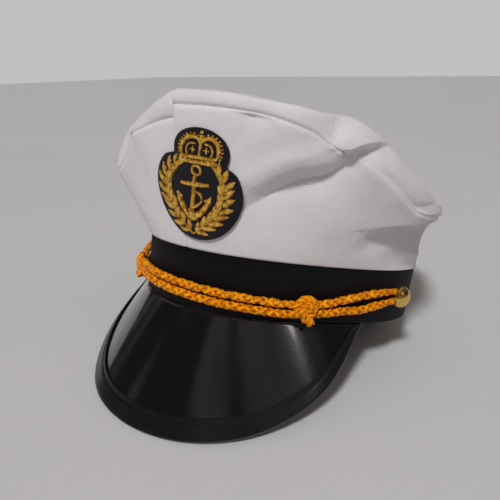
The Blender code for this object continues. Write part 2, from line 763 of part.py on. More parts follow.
def make_button(word, side):
    """Domed button turned on its post, which goes through the band's wall."""
    low = -BAND_WALL - BUTTON_STAND_OFF
    radius, post = BUTTON_DIAMETER / 2, POST_DIAMETER / 2
    profile = [(0.0, BUTTON_RISE)]
    profile += [(radius * sin(a), BUTTON_RISE * cos(a)) for a in np.radians((18, 36, 54, 72, 90))]
    profile += [(radius * 0.93, -BUTTON_RIM), (post, -BUTTON_RIM), (post, low), (0.0, low)]
    rows = []
    for r, z in profile:
        rows.append([(r * cos(turn), r * sin(turn), z)
                     for turn in 2 * pi * np.arange(BUTTON_SIDES) / BUTTON_SIDES])
    verts, faces = loft(rows, ring=True)
    frame = seat(side * BUTTON_ANGLE, BUTTON_BASE, BUTTON_STAND_OFF)
    verts = [frame @ Vector(v) for v in verts]
    return place_points("side_button_" + word, verts, faces, BRASS)


def badge_point(across, up, lift):
    """Point over the crown's front from the badge's flat axes."""
    lean = radians(BADGE_LEAN)
    x = across * cos(lean) - up * sin(lean)
    y = across * sin(lean) + up * cos(lean)
    foot = crown_base(BADGE_ANGLE, 0.0)
    head = crown_base(BADGE_ANGLE, SEAM)
    spot = crown_base(BADGE_ANGLE, BADGE_SHARE)
    angle = BADGE_ANGLE + np.degrees(x / sqrt(spot[0] ** 2 + spot[1] ** 2))
    height = spot[2] + y * (head[2] - foot[2]) / np.linalg.norm(head - foot)
    place = (height - foot[2]) / (CROWN_HEIGHT * section(angle, "seam_height") - foot[2])
    return crown_point(angle, place) + lift[:, None] * crown_normal(crown_base, angle, place)


def badge_piece(name, outlines, low, thickness, look):
    """Flat outline with holes, sliced so that it bends, and laid on the crown."""
    curve = bpy.data.curves.new(name, "CURVE")
    curve.dimensions = "2D"
    curve.fill_mode = "BOTH"
    curve.extrude = thickness / 2
    for outline in outlines:
        spline = curve.splines.new("POLY")
        spline.points.add(len(outline) - 1)
        for p, (x, y) in zip(spline.points, outline):
            p.co = (x, y, 0, 1)
        spline.use_cyclic_u = True
    holder = bpy.data.objects.new(name + "_outline", curve)
    parts.objects.link(holder)
    bpy.context.view_layer.update()
    shape = holder.evaluated_get(bpy.context.evaluated_depsgraph_get())
    mesh = bpy.data.meshes.new_from_object(shape)
    bpy.data.objects.remove(holder)
    bm = bmesh.new()
    bm.from_mesh(mesh)
    bmesh.ops.remove_doubles(bm, verts=bm.verts, dist=WELD)
    for axis in (0, 1):
        reach = max(abs(v.co[axis]) for v in bm.verts)
        for k in range(-int(reach / BADGE_SLICE), int(reach / BADGE_SLICE) + 1):
            spot, way = [0, 0, 0], [0, 0, 0]
            spot[axis] = k * BADGE_SLICE + SLICE_SHIFT
            way[axis] = 1
            bmesh.ops.bisect_plane(bm, geom=bm.verts[:] + bm.edges[:] + bm.faces[:],
                                   dist=WELD / 10, plane_co=spot, plane_no=way)
    bmesh.ops.triangulate(bm, faces=bm.faces)
    flat = np.array([v.co for v in bm.verts])
    lift = low + np.where(flat[:, 2] > 0, thickness, 0.0)
    for v, spot in zip(bm.verts, badge_point(flat[:, 0], flat[:, 1], lift)):
        v.co = spot
    bm.to_mesh(mesh)
    bm.free()
    return place_mesh(name, mesh, look)


def arc(centre, radius, start, end, steps):
    return [(centre[0] + radius * cos(radians(a)), centre[1] + radius * sin(radians(a)))
            for a in np.linspace(start, end, steps + 1)]


def patch_outline():
    """Round patch with an oval lobe on top: the farther of the two along each ray."""
    wide, tall = PATCH_LOBE_WIDTH / 2, PATCH_LOBE_HEIGHT / 2
    top = atan2(PATCH_LOBE_RISE, LOBE_SHIFT)
    outline = []
    for a in np.radians(np.arange(0, 360, PATCH_TURN)):
        turn = (abs(a - top) - radians(NOTCH_TURN)) / radians(NOTCH_SPREAD)
        far = PATCH_RADIUS * (1 - PATCH_NOTCH * exp(-turn ** 2))
        square = (cos(a) / wide) ** 2 + (sin(a) / tall) ** 2
        ahead = PATCH_LOBE_RISE * sin(a) / tall ** 2 + LOBE_SHIFT * cos(a) / wide ** 2
        inside = ahead ** 2 - square * ((PATCH_LOBE_RISE / tall) ** 2 + (LOBE_SHIFT / wide) ** 2 - 1)
        if inside > 0:
            far = max(far, (ahead + sqrt(inside)) / square)
        outline.append((far * cos(a), far * sin(a)))
    return outline


def anchor_outlines():
    """Anchor with a hole in its ring."""
    top = (0, 0.37 * ANCHOR_HEIGHT + ANCHOR_RISE)
    ring = 0.13 * ANCHOR_HEIGHT
    right = [(x * ANCHOR_HEIGHT, y * ANCHOR_HEIGHT + ANCHOR_RISE) for x, y in ANCHOR]
    left = [(-x, y) for x, y in right[-2::-1]]
    return [arc(top, ring, 250, -70, 10) + right + left, arc(top, 0.45 * ring, 0, 315, 7)]


def wreath_outlines():
    """Two branches in one band, open at the top, with a leaf at each swelling."""
    start, end = 142.0, 398.0
    steps = WREATH_LEAVES * 2 * 2
    outer, inner = [], []
    for k in range(steps + 1):
        a = start + (end - start) * k / steps
        swell = k % 2
        taper = 0.55 + 0.45 * min(1.0, (min(k, steps - k) / steps) * 5)
        half = WREATH_WIDTH / 2 * taper * (0.72 + 0.28 * swell)
        for row, r in ((outer, WREATH_RADIUS + half), (inner, WREATH_RADIUS - half)):
            row.append((r * cos(radians(a)), r * sin(radians(a))))
    return [outer + inner[::-1]]


def emblem_outlines():
    """Crown of a traditional badge: a base band, two arches and a ball on top."""
    w, h = EMBLEM_WIDTH / 2, EMBLEM_HEIGHT
    low = EMBLEM_FOOT
    outline = [(-0.72 * w, low), (0.72 * w, low), (0.80 * w, low + 0.22 * h)]
    outline += arc((0.52 * w, low + 0.50 * h), 0.48 * w, -30, 110, 6)
    outline += arc((0, low + 0.92 * h), 0.13 * w, -10, 190, 6)
    outline += arc((-0.52 * w, low + 0.50 * h), 0.48 * w, 70, 210, 6)
    outline += [(-0.80 * w, low + 0.22 * h)]
    holes = [arc((s * 0.45 * w, low + 0.47 * h), 0.26 * w, 0, 315, 7) for s in (1, -1)]
    return [[(x + LOBE_SHIFT, y) for x, y in row] for row in [outline] + holes]


def make_badge():
    gold = PATCH_GAP + PATCH_THICKNESS + GOLD_GAP
    badge_piece("badge_patch", [patch_outline()], PATCH_GAP, PATCH_THICKNESS, FELT_BLACK)
    badge_piece("badge_anchor", anchor_outlines(), gold, GOLD_THICKNESS, THREAD_GOLD)
    badge_piece("badge_wreath", wreath_outlines(), gold, GOLD_THICKNESS, THREAD_GOLD)
    badge_piece("badge_crown", emblem_outlines(), gold, GOLD_THICKNESS, THREAD_GOLD)


def clear_scene():
    for obj in list(bpy.data.objects):
        bpy.data.objects.remove(obj)


def new_collection(name):
    made = bpy.data.collections.new(name)
    bpy.context.scene.collection.children.link(made)
    return made


def make_cap_frame():
    """Empty that leans the cap back until the peak's rim and the band's back touch down."""
    rim, root, way, length, normal = visor_frame(0.0)
    under = rim + way * BINDING_WALL - normal * (VISOR_WALL + GAP + BINDING_WALL)
    lean = atan2(-under[2], BAND_LENGTH / 2 - under[1])
    frame = bpy.data.objects.new("cap_frame", None)
    parts.objects.link(frame)
    turn = Matrix.Rotation(-lean, 4, "X")
    front = turn @ Vector(rim)
    back = turn @ Vector(crown_base(180.0, (SEAM + ROLL) / 2))
    height = BAND_LENGTH / 2 * sin(lean) - TABLE_FLAT
    frame.matrix_world = Matrix.Translation((0, -(front.y + back.y) / 2, height)) @ turn
    return frame


clear_scene()
parts = new_collection("sailor_cap")
cutters = new_collection("cutters")
cap_frame = make_cap_frame()
table = make_table_cutter()
make_crown()
make_band()
make_visor()
make_binding()
make_strand("cord_upper", UPPER_STRAND)
make_strand("cord_lower", LOWER_STRAND)
for word, side in (("left", 1), ("right", -1)):
    make_knot(word, side)
    make_button(word, side)
make_badge()
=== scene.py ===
"""Looks of a sailor cap: soft white crown, black band, patent peak, braided gold cord.

Sizes are in metres. Every piece is shaped in the cap's own frame, whose origin is the centre
of the band's bottom edge, with the wearer looking along -Y and the wearer's left at +X. The
cap then leans back onto its table as the CAD part does. Angles are polar angles round the
head in degrees, 0 at the front and positive towards the wearer's left.
"""

from math import atan2, cos, pi, radians, sin, sqrt

import bpy
import numpy as np
from mathutils import Matrix, Vector


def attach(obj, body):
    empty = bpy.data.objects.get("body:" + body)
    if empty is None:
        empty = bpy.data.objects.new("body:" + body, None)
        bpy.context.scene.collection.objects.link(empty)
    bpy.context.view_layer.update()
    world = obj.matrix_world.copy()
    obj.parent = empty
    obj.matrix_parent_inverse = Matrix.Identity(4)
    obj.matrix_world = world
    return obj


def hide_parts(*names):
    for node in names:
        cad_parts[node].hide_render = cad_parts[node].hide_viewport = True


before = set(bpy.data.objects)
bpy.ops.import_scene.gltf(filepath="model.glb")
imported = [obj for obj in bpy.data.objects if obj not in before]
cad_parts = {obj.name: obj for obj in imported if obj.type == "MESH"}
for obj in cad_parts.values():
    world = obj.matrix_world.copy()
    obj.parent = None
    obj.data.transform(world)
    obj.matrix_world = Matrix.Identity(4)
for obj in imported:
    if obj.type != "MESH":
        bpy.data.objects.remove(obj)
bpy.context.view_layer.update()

# Sizes shared with the CAD part
GAP = 0.0003
CLOTH = 0.0015
TABLE_FLAT = 0.0004
BAND_LENGTH = 0.200
BAND_WIDTH = 0.1778
BAND_HEIGHT = 0.0312
BAND_WALL = 0.0022
BAND_FLARE = 0.0012
BAND_CORNER_TRIM = 0.062
CROWN_FRONT = 0.1240
CROWN_BACK = 0.1040
CROWN_HALF_WIDTH = 0.1040
CROWN_HEIGHT = 0.1125
CROWN_MIDDLE_HEIGHT = 0.0850
SEAM_STEP = 0.0008
VISOR_ANGLE = 66.85
VISOR_REACH = 0.1289
VISOR_DROP = 0.0618
VISOR_HALF_WIDTH = 0.0783
VISOR_WALL = 0.0016
BINDING_WIDTH = 0.0120
BINDING_WALL = 0.0009
STITCH_SHARE = 0.82
STITCH_DIP = 0.00022
STITCH_PITCH = 0.0030
KNOT_ANGLE = 39.7
KNOT_BASE = 0.0080
BUTTON_ANGLE = 80.0
BUTTON_BASE = 0.0165
BUTTON_DIAMETER = 0.0125
BUTTON_RISE = 0.0048
BUTTON_STAND_OFF = 0.0047
BADGE_ANGLE = 5.5
BADGE_SHARE = 0.43
BADGE_LEAN = -7.0
PATCH_RADIUS = 0.0250
PATCH_LOBE_WIDTH = 0.0288
PATCH_LOBE_HEIGHT = 0.0232
PATCH_LOBE_RISE = 0.0210
LOBE_SHIFT = 0.0014
PATCH_NOTCH = 0.10
NOTCH_TURN = 40.0
NOTCH_SPREAD = 10.0
PATCH_THICKNESS = 0.0016
PATCH_GAP = 0.0006

# How far and over which width the cloth is drawn in at its seams, and over which width the
# panels on both sides of the tip seam share their facing
TIP_SEAM_DRAW, CENTRE_SEAM_DRAW, SEAM_FACING = (0.0010, 0.0011), (0.0006, 0.0009), 0.0016

# Sections of the crown: angle and then, in thousandths, belly, seam reach, seam height, roll
# reach, top reach and top height; reaches are shares of its oval, the rest of its height
LEFT_SECTIONS = (
    (0, 13, 1003, 907, 1010, 968, 976), (13, 13, 1004, 904, 1010, 963, 974),
    (24, 9, 1009, 889, 1015, 967, 962), (33, 0, 1020, 849, 1022, 975, 952),
    (40, 0, 1029, 791, 1022, 968, 958), (46, 0, 1033, 769, 1028, 960, 930),
    (53, 0, 1033, 716, 1023, 948, 880), (60, -9, 1030, 650, 1018, 935, 820),
    (67, -18, 1020, 598, 1010, 928, 760), (75, -34, 1000, 586, 996, 912, 708),
    (84, -40, 975, 592, 975, 895, 668), (95, -40, 955, 590, 955, 875, 640),
    (112, -34, 950, 565, 955, 875, 628), (135, -18, 962, 545, 968, 885, 622),
    (180, 0, 1000, 533, 1000, 913, 622),
)
RIGHT_SECTIONS = (
    (0, 13, 987, 853, 1006, 968, 976), (7, 10, 988, 827, 998, 950, 930),
    (12, 6, 992, 800, 990, 935, 893), (17, 0, 996, 764, 983, 925, 862),
    (21, 0, 991, 676, 980, 925, 845), (26, 0, 996, 613, 985, 930, 835),
    (35, 0, 1008, 596, 995, 940, 830), (45, 0, 1034, 596, 1018, 960, 826),
    (60, 0, 1045, 587, 1030, 965, 790), (75, -9, 1022, 582, 1018, 950, 735),
    (90, -13, 995, 578, 995, 920, 690), (112, -13, 972, 560, 975, 893, 649),
    (135, -9, 980, 542, 985, 895, 631), (180, 0, 1000, 533, 1000, 913, 622),
)
SEAM, ROLL, TOP, INNER, MIDDLE = 1.0, 1.5, 2.0, 2.5, 3.0
INNER_REACH = 0.55
INNER_HEIGHT = 0.45

# Folds of the cloth, in millimetres, each along a path of (angle, place, strength). Looking
# along the path from outside, left and right are how far the cloth on each side moves out or,
# below 0, in. The left side fades to nothing over twice its width. The right side is deepest
# at the reach from the fold and fades from there by its width. Edge is how softly the sides
# meet. Swell lifts the cloth three left widths away, and hang lets the left side droop. Rows
# are left, left width, right, reach, right width, edge, swell, hang and path.
FOLDS = (
    (-8, 4.2, -8, 0, 15, 0.4, 1.5, 1.5, ((17, 0.34, 0.2), (24, 0.47, 0.65), (28.5, 0.57, 0.9),
     (32, 0.64, 1), (37, 0.73, 1.1), (40, 0.81, 1), (43, 0.92, 0.7))),
    (0.6, 10, -5, 3.2, 8, 0.6, 0, 1.5, ((40.2, 1.07, 0.1), (42.3, 1.2, 0.9), (45.5, 1.46, 1),
     (51, 1.76, 0.3))),
    (-4.4, 10, -4.4, 0, 4.5, 0.6, 0, 0, ((39.2, 1, 0.9), (38.2, 1.25, 1), (38.6, 1.55, 0.9),
     (39.5, 1.95, 0.4))),
    (2.6, 12, -7.2, 8.5, 8.5, 0.5, 0, 1, ((55, 0.48, 0.15), (59.5, 0.6, 0.6), (64.5, 0.74, 0.9),
     (71, 0.86, 1.1), (80, 0.92, 1.1), (92, 0.93, 1.1), (106, 0.88, 0.4))),
    (-2.8, 3.2, -0.4, 0, 1.2, 0.8, 0, 0, ((49, 1.07, 0.2), (55, 1.07, 1), (68, 1.07, 1),
     (78, 1.05, 0.5))),
    (2.6, 9, 2.6, 0, 10, 0.8, 0, 0, ((80, 0.24, 0.4), (92, 0.26, 1), (116, 0.28, 0.5))),
    (0.3, 2.5, -2.2, 0, 3, 0.4, 0, 0.2, ((15.5, 0.985, 0.2), (19, 0.985, 1), (23, 0.985, 0.3))),
    (-0.7, 3.5, -0.7, 0, 3.5, 0.4, 0, 0, ((13.5, 0.68, 0.2), (17.5, 0.85, 0.8), (20.5, 0.98, 1))),
    (-1.4, 4, -2, 0, 5, 0.6, 0.6, 0, ((64, 1.1, 0.4), (68.5, 1.22, 1), (74.5, 1.38, 1),
     (82.5, 1.72, 0.5))),
    (-1.2, 3, 1.2, 0, 3.5, 0.6, 0, 0, ((-16.5, 0.93, 0.4), (-16.5, 1.05, 1), (-19, 1.4, 0.8),
     (-21, 1.65, 0.3))),
    (-0.5, 8, -0.8, 0, 9, 3, 0, 0, ((-16, 0.3, 0.5), (-15, 0.6, 1), (-15.5, 0.85, 0.5))),
    (-0.8, 11, -0.6, 0, 12, 4, 0, 0, ((50, 0.62, 0.6), (52, 0.42, 1), (56, 0.22, 0.4))),
    (1.4, 12, -4.5, 6, 9, 0.7, 0, 1.2, ((-98, 0.94, 0.3), (-78, 0.88, 1), (-58, 0.8, 0.3))),
    (1.8, 12, -5, 5, 8, 0.7, 0, 1.4, ((-158, 0.86, 0.2), (-138, 0.84, 1), (-112, 0.82, 0.3))),
    (1.8, 12, -5, 5, 8, 0.7, 0, 1.4, ((116, 0.82, 0.2), (134, 0.84, 1), (152, 0.88, 0.3))),
    (-2.4, 6, -2.4, 0, 7, 0.7, 0.8, 0, ((150, 1.6, 0.5), (160, 1.42, 1), (172, 1.24, 0.4))),
    (-2.2, 6, -2.2, 0, 8, 0.7, 0.8, 0, ((-84, 1.2, 0.5), (-72, 1.45, 1), (-62, 1.75, 0.4))),
    (-1.8, 6, -1.8, 0, 8, 0.7, 0.6, 0, ((-128, 1.25, 0.5), (-118, 1.5, 1), (-104, 1.8, 0.4))),
    (-1.7, 6, -1.7, 0, 8, 0.7, 0.6, 0, ((100, 1.25, 0.5), (108, 1.5, 1), (122, 1.8, 0.4))),
)
# Fading past a path's ends and blending between its stretches, in millimetres, and fading
# towards the crown's foot and its middle, in places along the section
PATH_FADE, PATH_BLEND, FOOT_FADE, MIDDLE_FADE = 6.0, 2.0, 0.25, 0.3

# Rim of the peak from its middle to its end: share of the way, and then x, y and z as shares
# of the peak's half width, reach and drop
RIM = (
    (0, 0, 1, 1), (0.25, 0.437, 0.922, 0.956), (0.5, 0.785, 0.699, 0.811),
    (0.75, 0.997, 0.386, 0.492), (1, 1, 0, 0),
)

# Routes of the two strands on the band: angle, height and stand-off in millimetres, girth
UPPER_STRAND = (
    (-78.4, 19.3, 2.1, 0.7), (-75.5, 19.3, 2.4, 0.8), (-68, 18.7, 4.5, 1), (-59.6, 16.4, 5.6, 1),
    (-50, 13.2, 5.4, 1), (-39.7, 10.5, 4.4, 0.85), (-30, 12.5, 3, 1), (-18.9, 13, 2.8, 1),
    (-3.3, 12.6, 2.8, 1), (15.6, 11.2, 2.8, 1), (25.3, 10.6, 2.8, 1), (32, 10.2, 3.2, 1),
    (39.7, 10.5, 4.4, 0.85), (46.5, 11.7, 3.4, 1), (53.3, 14, 2.8, 1), (59.6, 16.4, 2.8, 1),
    (68.2, 18.7, 2.8, 1), (75.5, 19.3, 2.4, 0.8), (78.4, 19.3, 2.1, 0.7),
)
LOWER_STRAND = (
    (-78.4, 13.7, 2.1, 0.7), (-75.5, 13.2, 2.4, 0.8), (-69.4, 11.8, 3.5, 1), (-60.8, 8.8, 4.2, 1),
    (-50, 6.6, 4.6, 1), (-39.7, 5.5, 4.4, 0.85), (-30, 7, 3, 1), (-16.9, 7.7, 2.8, 1),
    (-2.9, 7.2, 2.8, 1), (15.9, 5.8, 2.8, 1), (25.6, 5.2, 2.8, 1), (32, 4.9, 3.2, 1),
    (39.7, 5.5, 4.4, 0.85), (46.7, 6.5, 3.4, 1), (54.2, 8, 2.8, 1), (60.8, 8.8, 2.8, 1),
    (69.4, 11.8, 2.8, 1), (75.5, 13.2, 2.4, 0.8), (78.4, 13.7, 2.1, 0.7),
)

# Cord: a round braid of yarns, half of them turning each way
YARNS_EACH_WAY = 3
BRAID_PITCH = 0.0150
YARN_HALF_WIDTH = 0.00125
YARN_HALF_DEPTH = 0.00060
BRAID_RADIUS = 0.00136
BRAID_WEAVE = 0.00048
BRAID_STEP = 0.00042
CORE_RADIUS = 0.00115
COLLAR_LENGTH = 0.0038
COLLAR_RADIUS = 0.00195
HELD_END = 0.004
KNOT_YARNS = 3
KNOT_PITCH = 0.0085

# Paths of the knot's swirl and its two tails: along the band, up it and out from it, and the
# path's radius, in millimetres from the knot's base
KNOT_LOOP = (
    (-3.4, -3.6, 0.2, 1.6), (-4.6, -0.8, 1, 1.8), (-4.6, 2.6, 1.2, 1.9), (-2.6, 5.6, 1.3, 1.9),
    (0.8, 6.5, 1.3, 1.9), (4, 4.8, 1.3, 1.9), (5, 1.4, 1.2, 1.9), (3.4, -1.6, 1.6, 1.8),
    (0.2, -2.6, 2.3, 1.8), (-2.2, -0.6, 2.8, 1.7), (-1.9, 2.4, 3.1, 1.6), (0.6, 3.8, 3.2, 1.6),
    (2.4, 2, 3.1, 1.5), (1, 0.2, 3, 1.3), (-0.2, 1.4, 2.9, 1.1),
)
KNOT_TAILS = (
    ((0.4, -1.2, 1, 1.7), (1.6, -3.2, 2, 1.9), (3, -5.2, 1.9, 2.1), (4, -6.8, 1.3, 2.2)),
    ((-0.8, -1.4, 1, 1.6), (-0.6, -3.4, 1.5, 1.7), (0.2, -5, 1.2, 1.6), (0.8, -6, 0.8, 1.4)),
)

# Camera in the cap's frame, from the fit to the photo
CAMERA_SPOT = (0.173249, -0.304483, 0.070302)
CAMERA_AHEAD = (-0.543406, 0.828730, -0.133849)
CAMERA_RIGHT = (0.818671, 0.558436, 0.133896)
CAMERA_LENS = 35.97
SENSOR = 36.0

# Key light, lamp and surroundings
KEY_POWER, KEY_ANGLE, KEY_COLOUR, KEY_WAY = 2.12, 9, (0.985, 0.985, 1.0), (-0.33, 1.24, -1.53)
LAMP_POWER, LAMP_SIZE, LAMP_COLOUR = 0.4, 0.16, (1.0, 0.97, 0.93)
LAMP_SPOT, LAMP_AIM = (1.20, -0.22, 1.10), (0, -0.05, 0.06)
WORLD_STRENGTH, WORLD_COLOUR = 0.22, (1.0, 0.89, 0.83, 1)
BACKDROP_COLOUR = (0.53, 0.53, 0.535, 1)


def cubic(s, width, start, end, start_slope, end_slope):
    """Curve between two values with given slopes, at a share of the width."""
    return (start * (1 + 2 * s) * (1 - s) ** 2 + end * s * s * (3 - 2 * s)
            + width * s * (1 - s) * (start_slope * (1 - s) - end_slope * s))


def smooth(knots, values, at):
    """Smooth curve through a table's column, with slopes taken from the neighbours."""
    knots, values, at = np.asarray(knots, float), np.asarray(values, float), np.asarray(at, float)
    step = np.diff(knots)
    secant = np.diff(values) / step
    slope = np.empty_like(values)
    slope[0], slope[-1] = secant[0], secant[-1]
    slope[1:-1] = (secant[:-1] * step[1:] + secant[1:] * step[:-1]) / (step[:-1] + step[1:])
    i = np.clip(np.searchsorted(knots, at) - 1, 0, len(step) - 1)
    s = (at - knots[i]) / step[i]
    return cubic(s, step[i], values[i], values[i + 1], slope[i], slope[i + 1])


def unit(v):
    return v / np.maximum(np.linalg.norm(v, axis=-1, keepdims=True), 1e-12)


def squared(v, tangent):
    """Unit vectors at right angles to the tangents, turned from v."""
    return unit(v - (v * tangent).sum(-1, keepdims=True) * tangent)


def lengths(points):
    """Lengths along the first axis up to each point."""
    steps = np.linalg.norm(np.diff(points, axis=0), axis=-1)
    return np.concatenate([0 * steps[:1], np.cumsum(steps, axis=0)])


def tangents(line):
    return unit(np.gradient(line, axis=0))


def read_line(at, length, points):
    """Points of a line at given lengths along it."""
    return np.stack([np.interp(at, length, values) for values in points.T], -1)


def placed(points, place):
    """Points moved from a frame to the one that the frame's matrix is given in."""
    place = np.array(place)
    return points @ place[:3, :3].T + place[:3, 3]


def oval(angle, half_width, front, back):
    a = np.radians(angle)
    half_length = np.where(np.cos(a) > 0, front, back)
    return 1 / np.sqrt((np.sin(a) / half_width) ** 2 + (np.cos(a) / half_length) ** 2)


def band_reach(angle, height):
    reach = oval(angle, BAND_WIDTH / 2, BAND_LENGTH / 2, BAND_LENGTH / 2)
    trim = BAND_CORNER_TRIM * np.sin(2 * np.radians(angle)) ** 2
    return reach * (1 - trim) + BAND_FLARE * height / BAND_HEIGHT


def at_angle(angle, reach, height):
    a = np.radians(angle)
    return np.stack([reach * np.sin(a), -reach * np.cos(a), height + 0 * a], axis=-1)


def band_point(angle, height, stand_off):
    return at_angle(angle, band_reach(angle, height) + stand_off, height)


def sections(angle):
    """Columns of the crown's sections after the first, at signed angles."""
    sides = []
    for table in (LEFT_SECTIONS, RIGHT_SECTIONS):
        knots, *columns = np.array(table, float).T
        sides.append([smooth(knots, values / 1000, np.abs(angle)) for values in columns])
    return [np.where(angle >= 0, left, right) for left, right in zip(*sides)]


def tip_stations(angle):
    """Belly, and reach and height at the seam, the roll, the top and inside it."""
    edge = oval(angle, CROWN_HALF_WIDTH, CROWN_FRONT, CROWN_BACK)
    belly, seam_reach, seam_height, roll_reach, top_reach, top_height = sections(angle)
    seam = edge * seam_reach, CROWN_HEIGHT * seam_height
    top = edge * top_reach, CROWN_HEIGHT * top_height
    roll = edge * roll_reach, (seam[1] + top[1]) / 2
    inner = (top[0] * INNER_REACH,
             CROWN_MIDDLE_HEIGHT + (top[1] - CROWN_MIDDLE_HEIGHT) * INNER_HEIGHT)
    return belly, seam, roll, top, inner


def picked(rows, i):
    return np.take_along_axis(rows, i[None], axis=0)[0]


def crown_base(angle, place):
    """The crown's outside before folds, by signed angle and place along the section."""
    angle, place = np.broadcast_arrays(np.asarray(angle, float), np.asarray(place, float))
    belly, seam, roll, top, inner = tip_stations(angle)
    beyond = tip_stations(np.where(angle > 0, angle - 180, angle + 180))[-1]
    start = (band_reach(angle, BAND_HEIGHT) + SEAM_STEP, BAND_HEIGHT + GAP + 0 * angle)
    s = np.clip(place, 0, 1)
    wall = [start[k] * (1 - s) ** 2 + seam[k] * s * s + (start[k] + seam[k]) * s * (1 - s)
            for k in (0, 1)]
    wall[0] = wall[0] + 2 * s * (1 - s) * (2 * belly * CROWN_HEIGHT)
    stops = (seam, roll, top, inner, (0 * angle, CROWN_MIDDLE_HEIGHT + 0 * angle))
    x = np.array([SEAM, ROLL, TOP, INNER, MIDDLE, 2 * MIDDLE - INNER])
    gaps = np.diff(x).reshape((-1,) + (1,) * angle.ndim)
    p = np.clip(place, SEAM, MIDDLE)
    i = np.clip(np.searchsorted(x, p) - 1, 0, len(x) - 3)
    width = x[i + 1] - x[i]
    tip = []
    for k in (0, 1):
        far = -beyond[0] if k == 0 else beyond[1]
        v = np.concatenate([np.stack([stop[k] for stop in stops]), far[None]])
        steps = np.diff(v, axis=0) / gaps
        slope = np.empty_like(v)
        slope[0] = steps[0]
        slope[1:-1] = (v[2:] - v[:-2]) / (gaps[1:] + gaps[:-1])
        if k == 1:
            slope[2] = 0
            slope[3] = 2 * steps[3] - slope[4]
        else:
            limit = 3 * np.minimum(np.abs(steps[:2]), np.abs(steps[1:3]))
            limit = np.where(steps[:2] * steps[1:3] > 0, limit, 0)
            slope[1:3] = np.clip(slope[1:3], -limit, limit)
        tip.append(cubic((p - x[i]) / width, width, picked(v, i), picked(v, i + 1),
                         picked(slope, i), picked(slope, i + 1)))
    reach, height = (np.where(place < SEAM, wall[k], tip[k]) for k in (0, 1))
    return at_angle(angle, reach, height)


def crown_normal(surface, angle, place, turn=1.2, step=0.05):
    """Outward normals of a surface given by angle and place, averaged over a short span."""
    place = np.minimum(place, MIDDLE - 2 * step)
    low = np.where(angle >= 0, np.maximum(angle - turn, 0), angle - turn)
    high = np.where(angle >= 0, angle + turn, np.minimum(angle + turn, -1e-4))
    around = surface(high, place) - surface(low, place)
    up = surface(angle, place + step) - surface(angle, np.maximum(place - step, 0))
    return unit(np.cross(around, up))


def fold_shift(base, normal, left, left_width, right, reach, right_width, edge, swell, hang, path):
    """How one fold moves the cloth."""
    path = np.array(path, float)
    knots = crown_base(path[:, 0], path[:, 1]) * 1000
    here = base * 1000
    fars, sides, weights, lefts = [], [], [], []
    last = len(knots) - 2
    for k in range(last + 1):
        along = knots[k + 1] - knots[k]
        length = np.linalg.norm(along)
        share = ((here - knots[k]) @ along) / length ** 2
        held = np.clip(share, 0, 1)
        away = here - (knots[k] + held[..., None] * along)
        toward = unit(np.cross(normal, along / length))
        over = length * (np.maximum(-share, 0) * (k == 0) + np.maximum(share - 1, 0) * (k == last))
        weights.append((path[k, 2] + (path[k + 1, 2] - path[k, 2]) * held)
                       * np.exp(-(over / PATH_FADE) ** 2))
        fars.append(np.linalg.norm(away, axis=-1))
        sides.append(np.sign((away * toward).sum(-1)) * fars[-1])
        lefts.append(toward)
    fars = np.array(fars)
    side = picked(np.array(sides), fars.argmin(0))
    blend = np.exp((fars.min(0) - fars) / PATH_BLEND)
    blend = blend / blend.sum(0)
    strength = (blend * np.array(weights)).sum(0)
    upward = unit((blend[..., None] * np.array(lefts)).sum(0))
    over_left, over_right = np.maximum(side, 0), np.maximum(-side, 0)
    on_left = left * (1 - np.minimum(over_left / (2 * left_width), 1)) ** 1.3
    if reach > 0:
        fall = np.sin(pi / 2 * np.minimum(over_right / reach, 1))
        beyond = np.maximum(over_right - reach, 0) / right_width
        on_right = (left * (1 - fall) + right * fall) * np.exp(-beyond ** 2)
    else:
        on_right = right * np.exp(-over_right / right_width)
    blend = 0.5 + 0.5 * np.tanh(side / edge)
    lifted = swell * np.exp(-(side / left_width - 3) ** 2)
    out = (blend * on_left + (1 - blend) * on_right + lifted) * strength
    droop = hang * blend * np.exp(-over_left / left_width) * strength
    return (out[..., None] * normal - droop[..., None] * upward) / 1000


def ripple(base):
    """Slight unevenness of cloth that has been handled."""
    x, y, z = np.moveaxis(base, -1, 0) * 1000
    return 0.00028 * (np.sin(x / 9 + 0.7 * np.sin(z / 14)) + np.sin(y / 11 + z / 17)
                      + 0.8 * np.sin((x + z) / 6.5 + 1.3 * np.sin(y / 15)))


def crown_point(angle, place):
    """The crown's outside with its folds."""
    angle, place = np.broadcast_arrays(np.asarray(angle, float), np.asarray(place, float))
    base = crown_base(angle, place)
    normal = crown_normal(crown_base, angle, place)
    shift = ripple(base)[..., None] * normal
    for row in FOLDS:
        shift += fold_shift(base, normal, *row)
    keep = np.clip(place / FOOT_FADE, 0, 1)
    middle = np.clip((MIDDLE - place) / MIDDLE_FADE, 0, 1)
    return base + shift * (keep * keep * (3 - 2 * keep) * middle)[..., None]


def rim_point(u):
    share, across, forward, drop = (
        np.concatenate([sign * values[:0:-1], values])
        for values, sign in zip(np.array(RIM, float).T, (-1, -1, 1, 1)))
    back = band_point(VISOR_ANGLE, 0.0, 0.0)[1]
    x = VISOR_HALF_WIDTH * smooth(share, across, u)
    y = back - (VISOR_REACH + back) * smooth(share, forward, u)
    return np.stack([x, y, -VISOR_DROP * smooth(share, drop, u)], axis=-1)


def root_point(u):
    return band_point(VISOR_ANGLE * u, 0.0, 0.0) - np.array([0, 0, GAP])


def visor_frame(u):
    """Rim and root points, the way from rim to root, its length and the outward normal."""
    u = np.asarray(u, float)
    step = 0.01
    rim, root = rim_point(u), root_point(u)
    way = root - rim
    length = np.linalg.norm(way, axis=-1, keepdims=True)
    way = way / np.maximum(length, 1e-9)
    tangent = (rim_point(u + step) + root_point(u + step)
               - rim_point(u - step) - root_point(u - step))
    return rim, root, way, length, unit(np.cross(tangent, way))


